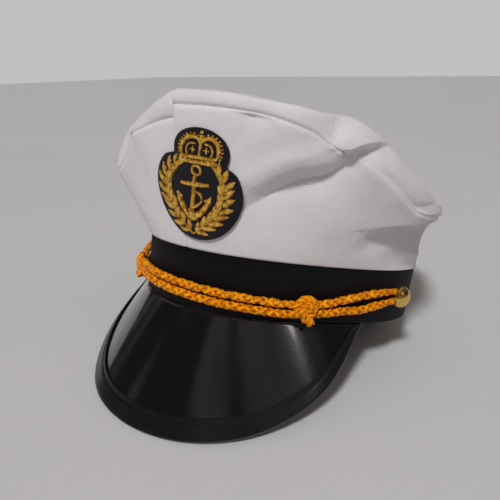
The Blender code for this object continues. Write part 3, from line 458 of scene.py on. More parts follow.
def cap_place():
    """Matrix that leans the cap back onto its table, as in the CAD part."""
    rim, root, way, length, normal = visor_frame(0.0)
    under = rim + way * BINDING_WALL - normal * (VISOR_WALL + GAP + BINDING_WALL)
    lean = atan2(-under[2], BAND_LENGTH / 2 - under[1])
    turn = Matrix.Rotation(-lean, 4, "X")
    front = turn @ Vector(rim)
    back = turn @ Vector(crown_base(180.0, (SEAM + ROLL) / 2))
    height = BAND_LENGTH / 2 * sin(lean) - TABLE_FLAT
    return Matrix.Translation((0, -(front.y + back.y) / 2, height)) @ turn


CAP = cap_place()


def added(name, data):
    obj = bpy.data.objects.new(name, data)
    bpy.context.scene.collection.objects.link(obj)
    return obj


def mesh_piece(name, verts, faces, look, slot, replaced=None, uv=None, on_table=False):
    """A mesh piece from points of the cap's frame, riding on the cap."""
    verts = placed(np.reshape(verts, (-1, 3)), CAP)
    if on_table:
        verts[:, 2] = np.maximum(verts[:, 2], 0)
    mesh = bpy.data.meshes.new(name)
    mesh.from_pydata(verts.tolist(), [], [tuple(face) for face in faces])
    mesh.update()
    if uv is not None:
        layer = mesh.uv_layers.new(name="UVMap")
        corners = np.empty(len(mesh.loops), np.int32)
        mesh.loops.foreach_get("vertex_index", corners)
        uv = np.reshape(uv, (-1, 2)).astype(np.float32)
        layer.data.foreach_set("uv", uv[corners].ravel())
    mesh.shade_smooth()
    mesh.materials.append(look)
    obj = added(name, mesh)
    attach(obj, "root")
    if replaced:
        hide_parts(replaced)


def grid_faces(rows, wide, ring=False, shift=0):
    at = np.arange(rows * wide).reshape(rows, wide) + shift
    if ring:
        at = np.concatenate([at, at[:, :1]], axis=1)
    return np.stack([at[:-1, :-1], at[:-1, 1:], at[1:, 1:], at[1:, :-1]], -1).reshape(-1, 4)


def tube_faces(rows, wide, flip=False):
    """Faces of a row of rings that is closed at both ends."""
    faces = [*grid_faces(rows, wide, ring=True), range(wide)[::-1],
             range((rows - 1) * wide, rows * wide)]
    return [tuple(face[::-1] if flip else face) for face in faces]


def grid_uv(grid):
    """Lengths across and along a grid of points, from its first column and row."""
    return np.stack([lengths(grid.swapaxes(0, 1)).T, lengths(grid)], -1)


def sheet_piece(name, outer, inner, uv, look, slot, **options):
    """Closed sheet between an outer and an inner grid of points."""
    rows, wide = outer.shape[:2]
    shift = rows * wide
    at = np.arange(shift).reshape(rows, wide)
    loop = np.concatenate([at[0], at[1:, -1], at[-1, -2::-1], at[-2:0:-1, 0]])
    nxt = np.roll(loop, -1)
    faces = np.concatenate([grid_faces(rows, wide), grid_faces(rows, wide, shift=shift)[:, ::-1],
                            np.stack([nxt, loop, loop + shift, nxt + shift], -1)])
    mesh_piece(name, [outer, inner], faces, look, slot, uv=[uv, uv], **options)


# UV for pieces without their own; 0.25 across is a thread's top, so the gold beads get its full
# painted highlight.
PLAIN_UV = (0.00007, 0.25)


def tube_mesh(centres, across, out, half_width, half_depth, sides):
    """Points, faces and lengths of a tube with an oval section and closed ends."""
    turn = 2 * pi * np.arange(sides) / sides
    wide, deep = (np.broadcast_to(half, len(centres))[:, None, None]
                  for half in (half_width, half_depth))
    grid = (centres[:, None] + across[:, None] * wide * np.cos(turn)[None, :, None]
            + out[:, None] * deep * np.sin(turn)[None, :, None])
    # UV's second axis is the share of the turn, 0.25 on the outward side, where cord and stitch
    # yarns get their painted highlight; their other sides get painted shade.
    uv = np.stack(np.broadcast_arrays(lengths(centres)[:, None], turn[None] / (2 * pi)), -1)
    return grid, tube_faces(len(centres), sides), uv


class Pile:
    """Several small meshes gathered into one piece."""

    def __init__(self):
        self.verts, self.faces, self.uv, self.count = [], [], [], 0

    def add(self, verts, faces, uv=None):
        verts = np.reshape(verts, (-1, 3))
        self.verts.append(verts)
        self.uv.append(np.full((len(verts), 2), PLAIN_UV) if uv is None
                       else np.reshape(uv, (-1, 2)))
        self.faces += [tuple(k + self.count for k in face) for face in faces]
        self.count += len(verts)

    def piece(self, name, look, slot, **options):
        mesh_piece(name, np.concatenate(self.verts), self.faces, look, slot,
                   uv=np.concatenate(self.uv), **options)


def resample(points, count):
    """Smooth curve through points, at equal steps along it."""
    points = np.asarray(points, float)
    knots = lengths(points[:, :3])
    at = np.linspace(0, knots[-1], count)
    return np.stack([smooth(knots, values, at) for values in points.T], -1)


# Materials

def new_look(name, colour, roughness, metallic=0.0, **sockets):
    made = bpy.data.materials.new(name)
    made.use_nodes = True
    shader = made.node_tree.nodes["Principled BSDF"]
    shader.inputs["Base Color"].default_value = (*colour, 1)
    shader.inputs["Roughness"].default_value = roughness
    shader.inputs["Metallic"].default_value = metallic
    for socket, value in sockets.items():
        shader.inputs[socket.replace("_", " ")].default_value = value
    return made


def node(look, kind, output, *inputs, **settings):
    """Output of a new node; each input is a value or another node's output."""
    made = look.node_tree.nodes.new("ShaderNode" + kind)
    for key, value in [*enumerate(inputs), *settings.items()]:
        if isinstance(key, str) and key not in made.inputs:
            setattr(made, key, value)
        elif isinstance(value, bpy.types.NodeSocket):
            look.node_tree.links.new(value, made.inputs[key])
        else:
            made.inputs[key].default_value = value
    return made.outputs[output]


def into_shader(look, socket, output):
    look.node_tree.links.new(output, look.node_tree.nodes["Principled BSDF"].inputs[socket])


def bump(look, height, distance, strength, **below):
    return node(look, "Bump", "Normal", Height=height, Distance=distance, Strength=strength,
                **below)


def relief(look, *bumps, **below):
    into_shader(look, "Normal", bump(look, *bumps, **below))


def stretched(look, source, turn, scale=(1, 1, 1)):
    """Coordinates turned by degrees and scaled."""
    return node(look, "Mapping", "Vector", Vector=source, Rotation=(0, 0, radians(turn)),
                Scale=scale)


def weave(look, vector, pitch, wobble=0.3):
    """Parallel yarns of a given pitch along the vector's X, a little uneven."""
    period = 2 * pi / 20
    return node(look, "TexWave", "Fac", Vector=vector, wave_type="BANDS", bands_direction="X",
                Scale=period / pitch, Distortion=wobble, Detail=2.0, **{"Detail Scale": 1.5})


def ramp(look, amount, *stops):
    """Colours at places from 0 to 1, for an amount."""
    made = look.node_tree.nodes.new("ShaderNodeValToRGB")
    elements = made.color_ramp.elements
    while len(elements) < len(stops):
        elements.new(0.5)
    for element, (place, colour) in zip(elements, stops):
        element.position = place
        element.color = (*colour, 1)
    look.node_tree.links.new(amount, made.inputs["Fac"])
    return made.outputs["Color"]


def coloured(look, amount, *stops):
    into_shader(look, "Base Color", ramp(look, amount, *stops))


def times(look, a, b, kind="MULTIPLY"):
    return node(look, "Math", 0, a, b, operation=kind)


def noise(look, vector, scale, detail=2.0):
    return node(look, "TexNoise", "Fac", Vector=vector, Scale=scale, Detail=detail)


def spot_of(look, kind="Object"):
    return node(look, "TexCoord", kind)


def weighted(look, *parts):
    """Sum of amounts, each times its weight."""
    terms = [times(look, amount, weight) for amount, weight in parts]
    total = terms[0]
    for term in terms[1:]:
        total = times(look, total, term, "ADD")
    return total


def cotton_look(name, turn):
    """White twill: raised diagonal lines crossed by the yarns, with soft unevenness."""
    look = new_look(name, COTTON, 0.88, Sheen_Weight=0.25, Sheen_Roughness=0.5)
    uv, place = spot_of(look, "UV"), spot_of(look)
    lines = weave(look, stretched(look, uv, turn), 0.00095, 1.2)
    across = weave(look, stretched(look, uv, turn + 68), 0.00062, 1.6)
    cloth = weighted(look, (lines, 0.75), (across, 0.25))
    tone = weighted(look, (cloth, 0.45), (noise(look, place, 28.0, 3.0), 0.55))
    coloured(look, tone, (0.15, COTTON_SHADE), (0.62, COTTON))
    soft_bump = bump(look, noise(look, place, 190.0, 3.0), 0.0005, 0.35)
    relief(look, cloth, 0.0003, 0.75, Normal=soft_bump)
    return look


def ribbon_look():
    """Black ribbon woven in fine ribs of small raised dots."""
    look = new_look("ribbon", RIBBON[1], 0.7, Specular_IOR_Level=0.3)
    uv = spot_of(look, "UV")
    dots = times(look, weave(look, stretched(look, uv, 0), 0.00082, 0.2),
                 weave(look, stretched(look, uv, 90), 0.00072, 0.2))
    coloured(look, dots, (0.1, RIBBON[0]), (0.9, RIBBON[2]))
    relief(look, dots, 0.0003, 0.8)
    return look


def patent_look():
    look = new_look("patent", PATENT, 0.16, Coat_Weight=1.0, Coat_Roughness=0.05)
    place = spot_of(look)
    waves = bump(look, noise(look, place, 24.0, 1.0), 0.004, 0.10)
    relief(look, noise(look, place, 420.0, 2.0), 0.0002, 0.10, Normal=waves)
    into_shader(look, "Coat Normal", waves)
    return look


def binding_look():
    look = new_look("binding", BINDING, 0.28, Coat_Weight=0.3, Coat_Roughness=0.15,
                    Specular_IOR_Level=0.35)
    relief(look, noise(look, spot_of(look), 900.0, 3.0), 0.0003, 0.35)
    return look


def thread_look(name, colours, scale, turn, pitch, roughness, metallic, strength):
    """Thread or yarn, with UV's first axis along it and 0.25 of the second at its outer top. Its
    colour is lightest at that top and darker down its sides and underneath, a painted highlight
    and painted shade, laid over its fibres and a random mottle.
    """
    look = new_look(name, colours[1], roughness, metallic)
    uv = spot_of(look, "UV")
    fibres = weave(look, stretched(look, uv, turn, scale), pitch, 1.0)
    mottle = noise(look, spot_of(look), 480.0, 3.0)
    # Painted highlight and shade: the tone rises towards each thread's top, at 0.25 of UV's second
    # axis, and falls to its sides and underneath.
    around = node(look, "SeparateXYZ", "Y", uv)
    aside = times(look, times(look, around, 0.25, "SUBTRACT"), 0.0, "ABSOLUTE")
    painted_highlight_and_shade = times(look, 1.0, times(look, aside, 4.0), "SUBTRACT")
    tone = weighted(look, (fibres, 0.25), (mottle, 0.80), (painted_highlight_and_shade, 0.30))
    coloured(look, tone, *zip((0.50, 0.72, 0.92), colours))
    relief(look, fibres, 0.0001, strength)
    return look


def felt_look():
    look = new_look("felt", FELT[1], 0.95, Sheen_Weight=0.06, Sheen_Roughness=0.6)
    fuzz = noise(look, spot_of(look), 1500.0, 4.0)
    coloured(look, fuzz, (0.3, FELT[0]), (0.8, FELT[2]))
    relief(look, fuzz, 0.0006, 0.6)
    return look


def brass_look():
    look = new_look("brass", BRASS, 0.17, 1.0)
    wear = times(look, noise(look, spot_of(look), 300.0), 0.12)
    into_shader(look, "Roughness", times(look, wear, 0.11, "ADD"))
    return look


# Colours; those in threes are the dark, the middle and the light tone
COTTON = (0.82, 0.80, 0.81)
COTTON_SHADE = (0.66, 0.64, 0.65)
RIBBON = ((0.002, 0.002, 0.0024), (0.008, 0.0075, 0.0085), (0.014, 0.0125, 0.014))
PATENT = (0.006, 0.006, 0.007)
BINDING = (0.008, 0.008, 0.009)
# Cord tones: the dark one is partly painted shade on the yarns' sides and undersides, the light
# one partly a painted highlight on their tops; the rest of the spread is random mottle.
CORD = ((0.34, 0.055, 0.0004), (0.94, 0.29, 0.003), (1.0, 0.46, 0.012))
BRASS = (0.82, 0.53, 0.13)
FELT = ((0.003, 0.003, 0.005), (0.015, 0.016, 0.022), (0.013, 0.012, 0.019))
# Gold thread and stitch tones: the dark one is partly painted shade on each thread's sides and
# undersides, the light one partly a painted highlight on its top; the rest of the spread is random
# mottle.
THREAD = ((0.05, 0.013, 0.001), (0.62, 0.25, 0.018), (1.0, 0.76, 0.14))
STITCH = ((0.008, 0.008, 0.008), (0.015, 0.015, 0.016), (0.02, 0.02, 0.021))


# Crown

def grid_normal(grid, side):
    """Outward normals of a panel's grid, by the steps to its neighbours."""
    normal = unit(np.cross(np.gradient(grid, axis=1), np.gradient(grid, axis=0))) * side
    pole = np.linalg.norm(np.gradient(grid, axis=1), axis=-1, keepdims=True) < 1e-5
    return np.where(pole, np.array([0.0, 0.0, 1.0]), normal)


def near_edge_depth(distance, depth, width):
    return depth * np.exp(-(distance / width) ** 1.6)


def crown_piece(name, node_name, side, wall, look):
    """One panel, finely meshed, drawn in along its seams like stitched cloth."""
    turns = np.concatenate([[1e-4, 0.15, 0.35, 0.6, 0.95], np.arange(1.5, 112, 0.75),
                            np.arange(112, 178, 1.5), [178.2, 179.0, 179.5, 179.8, 180 - 1e-4]])
    close = np.array([0, 0.004, 0.008, 0.013, 0.02, 0.03, 0.043, 0.06, 0.08, 0.105])
    if wall:
        places = np.concatenate([np.linspace(0, 1 - 0.13, 60), (1 - close)[::-1]])
    else:
        places = np.concatenate([1 + close, np.linspace(1.13, 2.1, 46), np.linspace(2.16, 3, 22)])
    angle, place = np.meshgrid(side * turns, places)
    outer = crown_point(angle, place)
    uv = grid_uv(outer)
    from_tip = (uv[-1:, :, 1] - uv[..., 1]) if wall else uv[..., 1]
    from_side = np.minimum(uv[..., 0], uv[:, -1:, 0] - uv[..., 0])
    at_seam = crown_normal(crown_point, side * turns, np.full(len(turns), SEAM))
    near = np.exp(-(from_tip / SEAM_FACING) ** 2)[..., None]
    facing = unit(grid_normal(outer, side) * (1 - near) + at_seam * near)
    off_middle = 1 if wall else np.clip((MIDDLE - place) / 0.5, 0, 1)
    drawn = (near_edge_depth(from_tip, *TIP_SEAM_DRAW)
             + off_middle * near_edge_depth(from_side, *CENTRE_SEAM_DRAW))
    outer = outer - drawn[..., None] * facing
    inner = outer - CLOTH * facing
    for grid in (outer, inner):
        grid[:, 0, 0] = grid[:, -1, 0] = 0
        grid[..., 0] = side * np.maximum(side * grid[..., 0], 0)
    if not wall:
        inner[-1] = outer[-1] - np.array([0, 0, CLOTH])
    uv = uv * np.array([side, 1])
    if side < 0:
        outer, inner, uv = outer[:, ::-1], inner[:, ::-1], uv[:, ::-1]
    sheet_piece(name, outer, inner, uv, look, "white_cotton", replaced=node_name)


def make_crown():
    wall_look, tip_look = cotton_look("wall_twill", -40.0), cotton_look("tip_twill", 6.0)
    for word, side in (("left", 1), ("right", -1)):
        crown_piece("panel_" + word, "side_panel_" + word, side, True, wall_look)
        crown_piece("top_" + word, "tip_" + word, side, False, tip_look)


# Band, peak and binding

def make_band():
    angle = np.linspace(-180, 180, 481)[:-1]
    r = 0.0006
    face = [(share * BAND_HEIGHT, 0) for share in (0.25, 0.5, 0.75)]
    profile = [(r, 0), *face, (BAND_HEIGHT - r, 0), (BAND_HEIGHT, -r),
               (BAND_HEIGHT, r - BAND_WALL), (BAND_HEIGHT - r, -BAND_WALL),
               (BAND_HEIGHT / 2, -BAND_WALL), (r, -BAND_WALL), (0, r - BAND_WALL), (0, -r), (r, 0)]
    rows = np.array([band_point(angle, height, stand_off) for height, stand_off in profile])
    columns = np.concatenate([rows, rows[:, :1]], axis=1)
    mesh_piece("band", columns, grid_faces(*columns.shape[:2])[:, ::-1], ribbon_look(),
               "black_ribbon", "hat_band", grid_uv(columns), on_table=True)


def make_visor():
    """Bent sheet, whose inner side is cut level with the band."""
    rim, root, way, length, normal = visor_frame(np.linspace(-0.975, 0.975, 181))
    edge = BINDING_WALL + GAP
    outer = rim + way * (edge + (length - edge) * np.linspace(0, 1, 29)[:, None, None])
    inner = outer - normal * VISOR_WALL
    inner[-1] += way * ((root - inner[-1])[..., 2:3] / way[..., 2:3])
    sheet_piece("peak", outer, inner, grid_uv(outer), patent_look(), "patent_black",
                replaced="visor", on_table=True)


def binding_section():
    """Section of the binding: share of its depth, extra depth and lift, as in the CAD part."""
    over, under, wall = GAP, -VISOR_WALL - GAP, BINDING_WALL
    turn = np.radians(np.linspace(90, 270, 9))
    middle, half = (over + under) / 2, (over - under) / 2 + wall
    nose = [(0, wall + 1.1 * wall * cos(a), middle + half * sin(a)) for a in turn]
    top = [(s, 0, over + wall * (0.35 if s == 1.0 else 1.0)) for s in
           (1.0, 0.985, 0.95, 0.86, STITCH_SHARE, 0.78, 0.6, 0.4, 0.2)]
    bottom = [(s, 0, under - wall) for s in (0.3, 0.6, 1.0)]
    inside = [(1.0, 0, under), (0.5, 0, under), (0, wall, under), (0, wall, over), (0.5, 0, over),
              (1.0, 0, over)]
    return top + nose + bottom + inside


def make_binding():
    rim, root, way, length, normal = visor_frame(np.linspace(-0.965, 0.965, 281))
    depth = np.minimum(BINDING_WIDTH, length - 2 * GAP)
    grid = np.stack([rim + way * (depth * share + extra)
                     + normal * (lift - (STITCH_DIP if share == STITCH_SHARE else 0.0))
                     for share, extra, lift in binding_section()], 1)
    mesh_piece("binding", grid, tube_faces(*grid.shape[:2], flip=True),
               binding_look(), "binding_black", "visor_binding", on_table=True)
    make_binding_stitches(rim + way * (depth * STITCH_SHARE)
                          + normal * (GAP + BINDING_WALL - 0.00012), normal)


def make_binding_stitches(line, normal):
    """Row of short stitches near the binding's inner edge."""
    length = lengths(line)
    pile = Pile()
    round_off = np.sqrt(np.clip(1 - np.linspace(-1, 1, 6) ** 4, 0.05, 1))
    for k in range(int(length[-1] / STITCH_PITCH)):
        at = (k + np.linspace(0.14, 0.86, 6)) * STITCH_PITCH
        centre = read_line(at, length, line)
        out = unit(read_line(at, length, normal))
        across = unit(np.cross(out, tangents(centre)))
        lifted = centre + out * (0.00016 * round_off)[:, None]
        pile.add(*tube_mesh(lifted, across, out, 0.00026 * round_off, 0.0002 * round_off, 6))
    look = thread_look("stitch", STITCH, (30, 1, 1), 90, 0.25, 0.5, 0.0, 0.4)
    pile.piece("binding_stitches", look, "binding_black")


# Cord, knots and buttons

def strand_line(table):
    """Centre line of a strand, with the ways across and out from the band and its girth."""
    angle, *columns = np.array(table, float).T
    fine = np.linspace(angle[0], angle[-1], 1600)
    height, stand_off, girth = (smooth(angle, values, fine) for values in columns)
    points = band_point(fine, height / 1000, stand_off / 1000)
    length = lengths(points)
    at = np.linspace(0, length[-1], int(length[-1] / BRAID_STEP))
    points = read_line(at, length, points)
    along = tangents(points)
    out = squared(points * np.array([1, 1, 0]), along)
    return points, unit(np.cross(out, along)), out, np.interp(at, length, girth), at


def wound_yarn(line, across, out, turn, radius, half_width, half_depth, sides):
    """One yarn that winds round a line."""
    around = np.cos(turn)[:, None] * across + np.sin(turn)[:, None] * out
    centre = line + around * radius[:, None]
    tangent = tangents(centre)
    outward = squared(around, tangent)
    return tube_mesh(centre, unit(np.cross(outward, tangent)), outward, half_width, half_depth,
                     sides)


def make_strand(name, node_name, table, look, phase):
    """Round braid: yarns that wind both ways round the strand and pass over and under."""
    points, across, out, girth, at = strand_line(table)
    pile = Pile()
    ends = np.minimum(at, at[-1] - at)
    held = np.clip(ends / HELD_END - 1, 0, 1)
    crossing = 2 * pi * YARNS_EACH_WAY * at / BRAID_PITCH
    for way in (1, -1):
        for k in range(YARNS_EACH_WAY):
            turn = 2 * pi * (way * at / BRAID_PITCH + k / YARNS_EACH_WAY) + phase
            over = way * np.cos(crossing + pi * k + YARNS_EACH_WAY * phase)
            radius = girth * (BRAID_RADIUS + BRAID_WEAVE * over * held)
            pile.add(*wound_yarn(points, across, out, turn, radius, YARN_HALF_WIDTH * girth,
                                 YARN_HALF_DEPTH * girth, 8))
    pile.add(*tube_mesh(points, across, out, CORE_RADIUS * girth, CORE_RADIUS * girth, 8))
    for first in (True, False):
        pick = (ends < COLLAR_LENGTH) & ((at < at[-1] / 2) == first)
        ribbed = COLLAR_RADIUS * (1 + 0.05 * np.sin(2 * pi * 7 * np.linspace(0, 1, pick.sum())))
        pile.add(*tube_mesh(points[pick], across[pick], out[pick], ribbed, ribbed, 14))
    pile.piece(name, look, "gold_cord", replaced=node_name)


def seat(angle, height, stand_off):
    """Frame on the band: X along the band, Y up it and Z outwards."""
    spot = Vector(band_point(angle, height, stand_off))
    ahead = Vector(band_point(angle + 0.5, height, 0)) - Vector(band_point(angle - 0.5, height, 0))
    up = Vector(band_point(angle, height + 0.001, 0)) - Vector(band_point(angle, height, 0))
    ahead.normalize()
    out = ahead.cross(up).normalized()
    return Matrix.Translation(spot) @ Matrix((ahead, out.cross(ahead), out)).transposed().to_4x4()


def twisted_yarns(pile, path, place):
    """Cord of a few thick yarns twisted together along a path on a seat."""
    path = resample(path, 150) / 1000
    centre, radius = path[:, :3], path[:, 3]
    along = tangents(centre)
    out = unit(np.array([0.0, 0.0, 1.0]) - along * along[:, 2:3])
    across = unit(np.cross(out, along))
    for k in range(KNOT_YARNS):
        turn = 2 * pi * (lengths(centre) / KNOT_PITCH + k / KNOT_YARNS)
        verts, faces, uv = wound_yarn(centre, across, out, turn, radius * 0.48, radius * 0.68,
                                      radius * 0.60, 12)
        pile.add(placed(verts, place), faces, uv)


def make_knot(word, side, look):
    """Swirl and tails of twisted yarns, round a plump middle."""
    place = seat(side * KNOT_ANGLE, KNOT_BASE, 0.0044)
    pile = Pile()
    for path in (KNOT_LOOP, *KNOT_TAILS):
        twisted_yarns(pile, path, place)
    turn = np.radians(np.linspace(-88, 88, 17))
    middle = np.stack([0.0044 * np.sin(turn) + 0.0002, 0 * turn + 0.0018, 0 * turn + 0.0008], -1)
    up, out = (np.tile(axis, (17, 1)) for axis in np.eye(3)[1:])
    verts, faces, uv = tube_mesh(middle, up, out, 0.0050 * np.cos(turn), 0.0026 * np.cos(turn), 20)
    pile.add(placed(verts, place), faces, uv)
    pile.piece("cord_knot_" + word, look, "gold_cord", replaced="knot_" + word)


def make_button(word, side, look):
    """Polished dome with a rolled rim, on its post."""
    radius = BUTTON_DIAMETER / 2
    profile = [(radius * sin(a), BUTTON_RISE * cos(a)) for a in np.radians(np.arange(3, 88, 4.0))]
    rim = radius * 0.985
    profile += [(rim + 0.00018 * cos(a), -0.0001 + 0.0003 * sin(a))
                for a in np.radians(np.linspace(80, -80, 7))]
    profile += [(radius * 0.80, -0.0006), (0.0015, -0.0006), (0.0015, -BUTTON_STAND_OFF)]
    turn = 2 * pi * np.arange(64) / 64
    r, z = np.array([(1e-6, BUTTON_RISE)] + profile).T[..., None]
    grid = np.stack([r * np.cos(turn), r * np.sin(turn), 0 * turn + z], -1)
    place = seat(side * BUTTON_ANGLE, BUTTON_BASE, BUTTON_STAND_OFF)
    mesh_piece("dome_button_" + word, placed(grid, place),
               grid_faces(*grid.shape[:2], ring=True)[:, ::-1], look, "brass",
               "side_button_" + word)


# Badge

BADGE_HALF = 0.034
BADGE_STEP = 0.0005
BADGE_FACE = PATCH_GAP + PATCH_THICKNESS - 0.0001


def turned(x, y, angle):
    """A flat vector turned by degrees."""
    a = radians(angle)
    return x * cos(a) - y * sin(a), x * sin(a) + y * cos(a)


def badge_ground(across, up):
    """Surface and normals of the crown under the badge's flat axes."""
    x, y = turned(across, up, BADGE_LEAN)
    foot, head, spot = crown_base(BADGE_ANGLE, np.array([0.0, SEAM, BADGE_SHARE]))
    angle = BADGE_ANGLE + np.degrees(x / sqrt(spot[0] ** 2 + spot[1] ** 2))
    height = spot[2] + y * (head[2] - foot[2]) / np.linalg.norm(head - foot)
    place = (height - foot[2]) / (CROWN_HEIGHT * sections(angle)[2] - foot[2])
    return crown_point(angle, place), crown_normal(crown_base, angle, place)


def badge_table():
    side = np.arange(-BADGE_HALF, BADGE_HALF + BADGE_STEP, BADGE_STEP)
    across, up = np.meshgrid(side, side, indexing="ij")
    ground, normal = badge_ground(across, up)
    return np.concatenate([ground, normal], axis=-1)


def badge_point(across, up, lift):
    """Point over the crown's front from the badge's flat axes, read between table rows."""
    i = np.clip((np.asarray(across) + BADGE_HALF) / BADGE_STEP, 0, len(BADGE_TABLE) - 1.001)
    j = np.clip((np.asarray(up) + BADGE_HALF) / BADGE_STEP, 0, len(BADGE_TABLE) - 1.001)
    a, b = i.astype(int), j.astype(int)
    u, v = (i - a)[..., None], (j - b)[..., None]
    read = ((BADGE_TABLE[a, b] * (1 - v) + BADGE_TABLE[a, b + 1] * v) * (1 - u)
            + (BADGE_TABLE[a + 1, b] * (1 - v) + BADGE_TABLE[a + 1, b + 1] * v) * u)
    return read[..., :3] + lift[..., None] * read[..., 3:]


def patch_reach(a):
    """How far the patch reaches from its middle, along each ray."""
    wide, tall = PATCH_LOBE_WIDTH / 2, PATCH_LOBE_HEIGHT / 2
    top = atan2(PATCH_LOBE_RISE, LOBE_SHIFT)
    turn = (np.abs(a - top) - radians(NOTCH_TURN)) / radians(NOTCH_SPREAD)
    far = PATCH_RADIUS * (1 - PATCH_NOTCH * np.exp(-turn ** 2))
    square = (np.cos(a) / wide) ** 2 + (np.sin(a) / tall) ** 2
    ahead = PATCH_LOBE_RISE * np.sin(a) / tall ** 2 + LOBE_SHIFT * np.cos(a) / wide ** 2
    inside = ahead ** 2 - square * ((PATCH_LOBE_RISE / tall) ** 2 + (LOBE_SHIFT / wide) ** 2 - 1)
    lobe = (ahead + np.sqrt(np.maximum(inside, 0))) / square
    return np.where(inside > 0, np.maximum(far, lobe), far)


def make_patch(look):
    """Felt patch with a soft rounded edge and a slightly padded face."""
    turn = np.radians(np.arange(0, 360, 1.5))
    rings = [(share, PATCH_THICKNESS + PATCH_GAP - 0.0007 * max(0, (share - 0.94) / 0.06) ** 2)
             for share in (*np.linspace(0.02, 0.94, 22), 0.965, 0.983, 0.995, 1.0)]
    rings += [(1.0, PATCH_GAP + 0.0002), (0.99, -0.0006), (0.5, -0.0006)]
    share, lift = np.array(rings).T[..., None]
    reach = share * patch_reach(turn)
    grid = badge_point(reach * np.cos(turn), reach * np.sin(turn), lift + 0 * turn)
    mesh_piece("felt_patch", grid, tube_faces(*grid.shape[:2], flip=True), look, "black_felt",
               "badge_patch")


def square_left(way):
    return np.stack([-way[..., 1], way[..., 0]], -1)


def purl(pile, path, rib=0.0, pitch=0.0007):
    """Padded cord of coiled gold wire laid on the badge: across, up, half width and height."""
    path = np.asarray(path, float)
    path = resample(path, max(8, int(lengths(path[:, :2])[-1] / 0.16))) / 1000
    flat, half, tall = path[:, :2], path[:, 2], path[:, 3]
    length = lengths(flat)
    ribs = 1 + rib * np.sin(2 * pi * length / pitch)
    a = np.radians(np.linspace(-12, 192, 11))
    spot = flat[:, None] + (square_left(tangents(flat))[:, None]
                            * ((half * ribs)[:, None] * np.cos(a))[..., None])
    lift = BADGE_FACE + (tall * ribs)[:, None] * np.maximum(np.sin(a), -0.1)
    grid = badge_point(spot[..., 0], spot[..., 1], lift)
    # UV's second axis runs round the section from 0 to 0.5, 0.25 at the top, where the gold gets
    # its painted highlight; towards the sides it gets painted shade.
    uv = np.stack(np.broadcast_arrays(length[:, None], np.linspace(0, 0.5, len(a))), -1)
    pile.add(grid, tube_faces(*grid.shape[:2]), uv)


def bead(pile, across, up, radius, high=1.0):
    """Small round bead on the badge."""
    turn = np.linspace(0, 2 * pi, 8, endpoint=False)
    a = np.radians((88, 60, 30, 0, -25))[:, None]
    reach = radius * np.cos(a)
    lift = BADGE_FACE + radius / 1000 * high * (np.sin(a) + 0.4) + 0 * turn
    grid = badge_point((across + reach * np.cos(turn)) / 1000, (up + reach * np.sin(turn)) / 1000,
                       lift)
    pile.add(grid, tube_faces(*grid.shape[:2], flip=True)[:-1])


def leaf(pile, root, tip, half, bow=0.0, tall=0.9):
    """Pointed leaf of satin stitch, from root to tip."""
    root, tip = np.array(root, float), np.array(tip, float)
    way = tip - root
    side = square_left(way) / np.linalg.norm(way)
    t = np.linspace(0, 1, 15)
    shape = np.sin(pi * t ** 0.8) ** 0.7
    spine = root + t[:, None] * way + (bow * np.sin(pi * t))[:, None] * side
    path = np.stack([spine[:, 0], spine[:, 1], np.maximum(half * shape, 0.12),
                     np.maximum(tall * shape ** 0.8, 0.15)], -1)
    purl(pile, path, rib=0.05, pitch=0.00045)


# Anchor: across, up, half width and height of its strokes, in millimetres
RING_CENTRE = (0.8, 11.9)
RING_RADIUS = 2.3
ANCHOR_STROKES = (
    ((0.3, 9, 0.9, 1.1), (0.1, 3, 1, 1.2), (-0.1, -5, 1.1, 1.3), (-0.3, -11.4, 1.4, 1.3)),
    ((-7.4, 4.1, 0.8, 0.9), (-3.8, 4.2, 1, 1.1), (0, 4.6, 1, 1.2), (4.2, 5.2, 1, 1.1),
     (8, 5.9, 0.8, 0.9)),
    ((-9.5, -0.9, 0.4, 0.6), (-8.6, -3.6, 1, 1), (-7.1, -6.2, 1.2, 1.2), (-4.3, -9.8, 1.4, 1.3),
     (-0.4, -12.4, 1.9, 1.5), (3.8, -10, 1.4, 1.3), (7.2, -5.2, 1.2, 1.2), (8.6, -2.6, 1, 1),
     (9.4, 0.4, 0.4, 0.6)),
    ((-9.9, -1.4, 0.6, 0.8), (-6.6, -3.4, 0.5, 0.7)),
    ((9.7, -0.3, 0.6, 0.8), (6.2, -2.6, 0.5, 0.7)),
    ((1.2, 1.6, 0.5, 1.5), (3.9, 0, 0.6, 1), (4.8, -2.2, 0.6, 1), (2.7, -5.6, 0.6, 1.6),
     (-0.2, -7.6, 0.6, 1.8), (-2.3, -9.3, 0.5, 1.4)),
)

# Stems of the wreath, and its leaves in pairs: share of the way along the stem, turns of the
# outer and the inner leaf away from it, length and half width
STEMS = (
    ((0.2, -21.8), (-3.6, -18.6), (-8.6, -15.2), (-12.6, -9.9), (-16, -4.7), (-17.2, 1.4),
     (-14.8, 9), (-10.2, 13.8), (-6.4, 16.2)),
    ((0.4, -21.8), (4.9, -17.6), (10.4, -11.7), (14.6, -4.4), (15.6, 2.3), (15.6, 7.3),
     (13.4, 12.1), (10.4, 15.4), (7.8, 17)),
)
LEAVES = (
    (0.05, 40, 34, 7, 1.35), (0.14, 36, 32, 8, 1.55), (0.23, 34, 30, 8.4, 1.6),
    (0.32, 33, 30, 8.4, 1.6), (0.41, 33, 30, 8.4, 1.6), (0.5, 33, 30, 8.2, 1.6),
    (0.59, 33, 30, 8, 1.55), (0.68, 32, 28, 7.6, 1.5), (0.77, 30, 26, 7, 1.4),
    (0.86, 26, 22, 5.8, 1.2), (0.94, 20, 18, 4.4, 1),
)

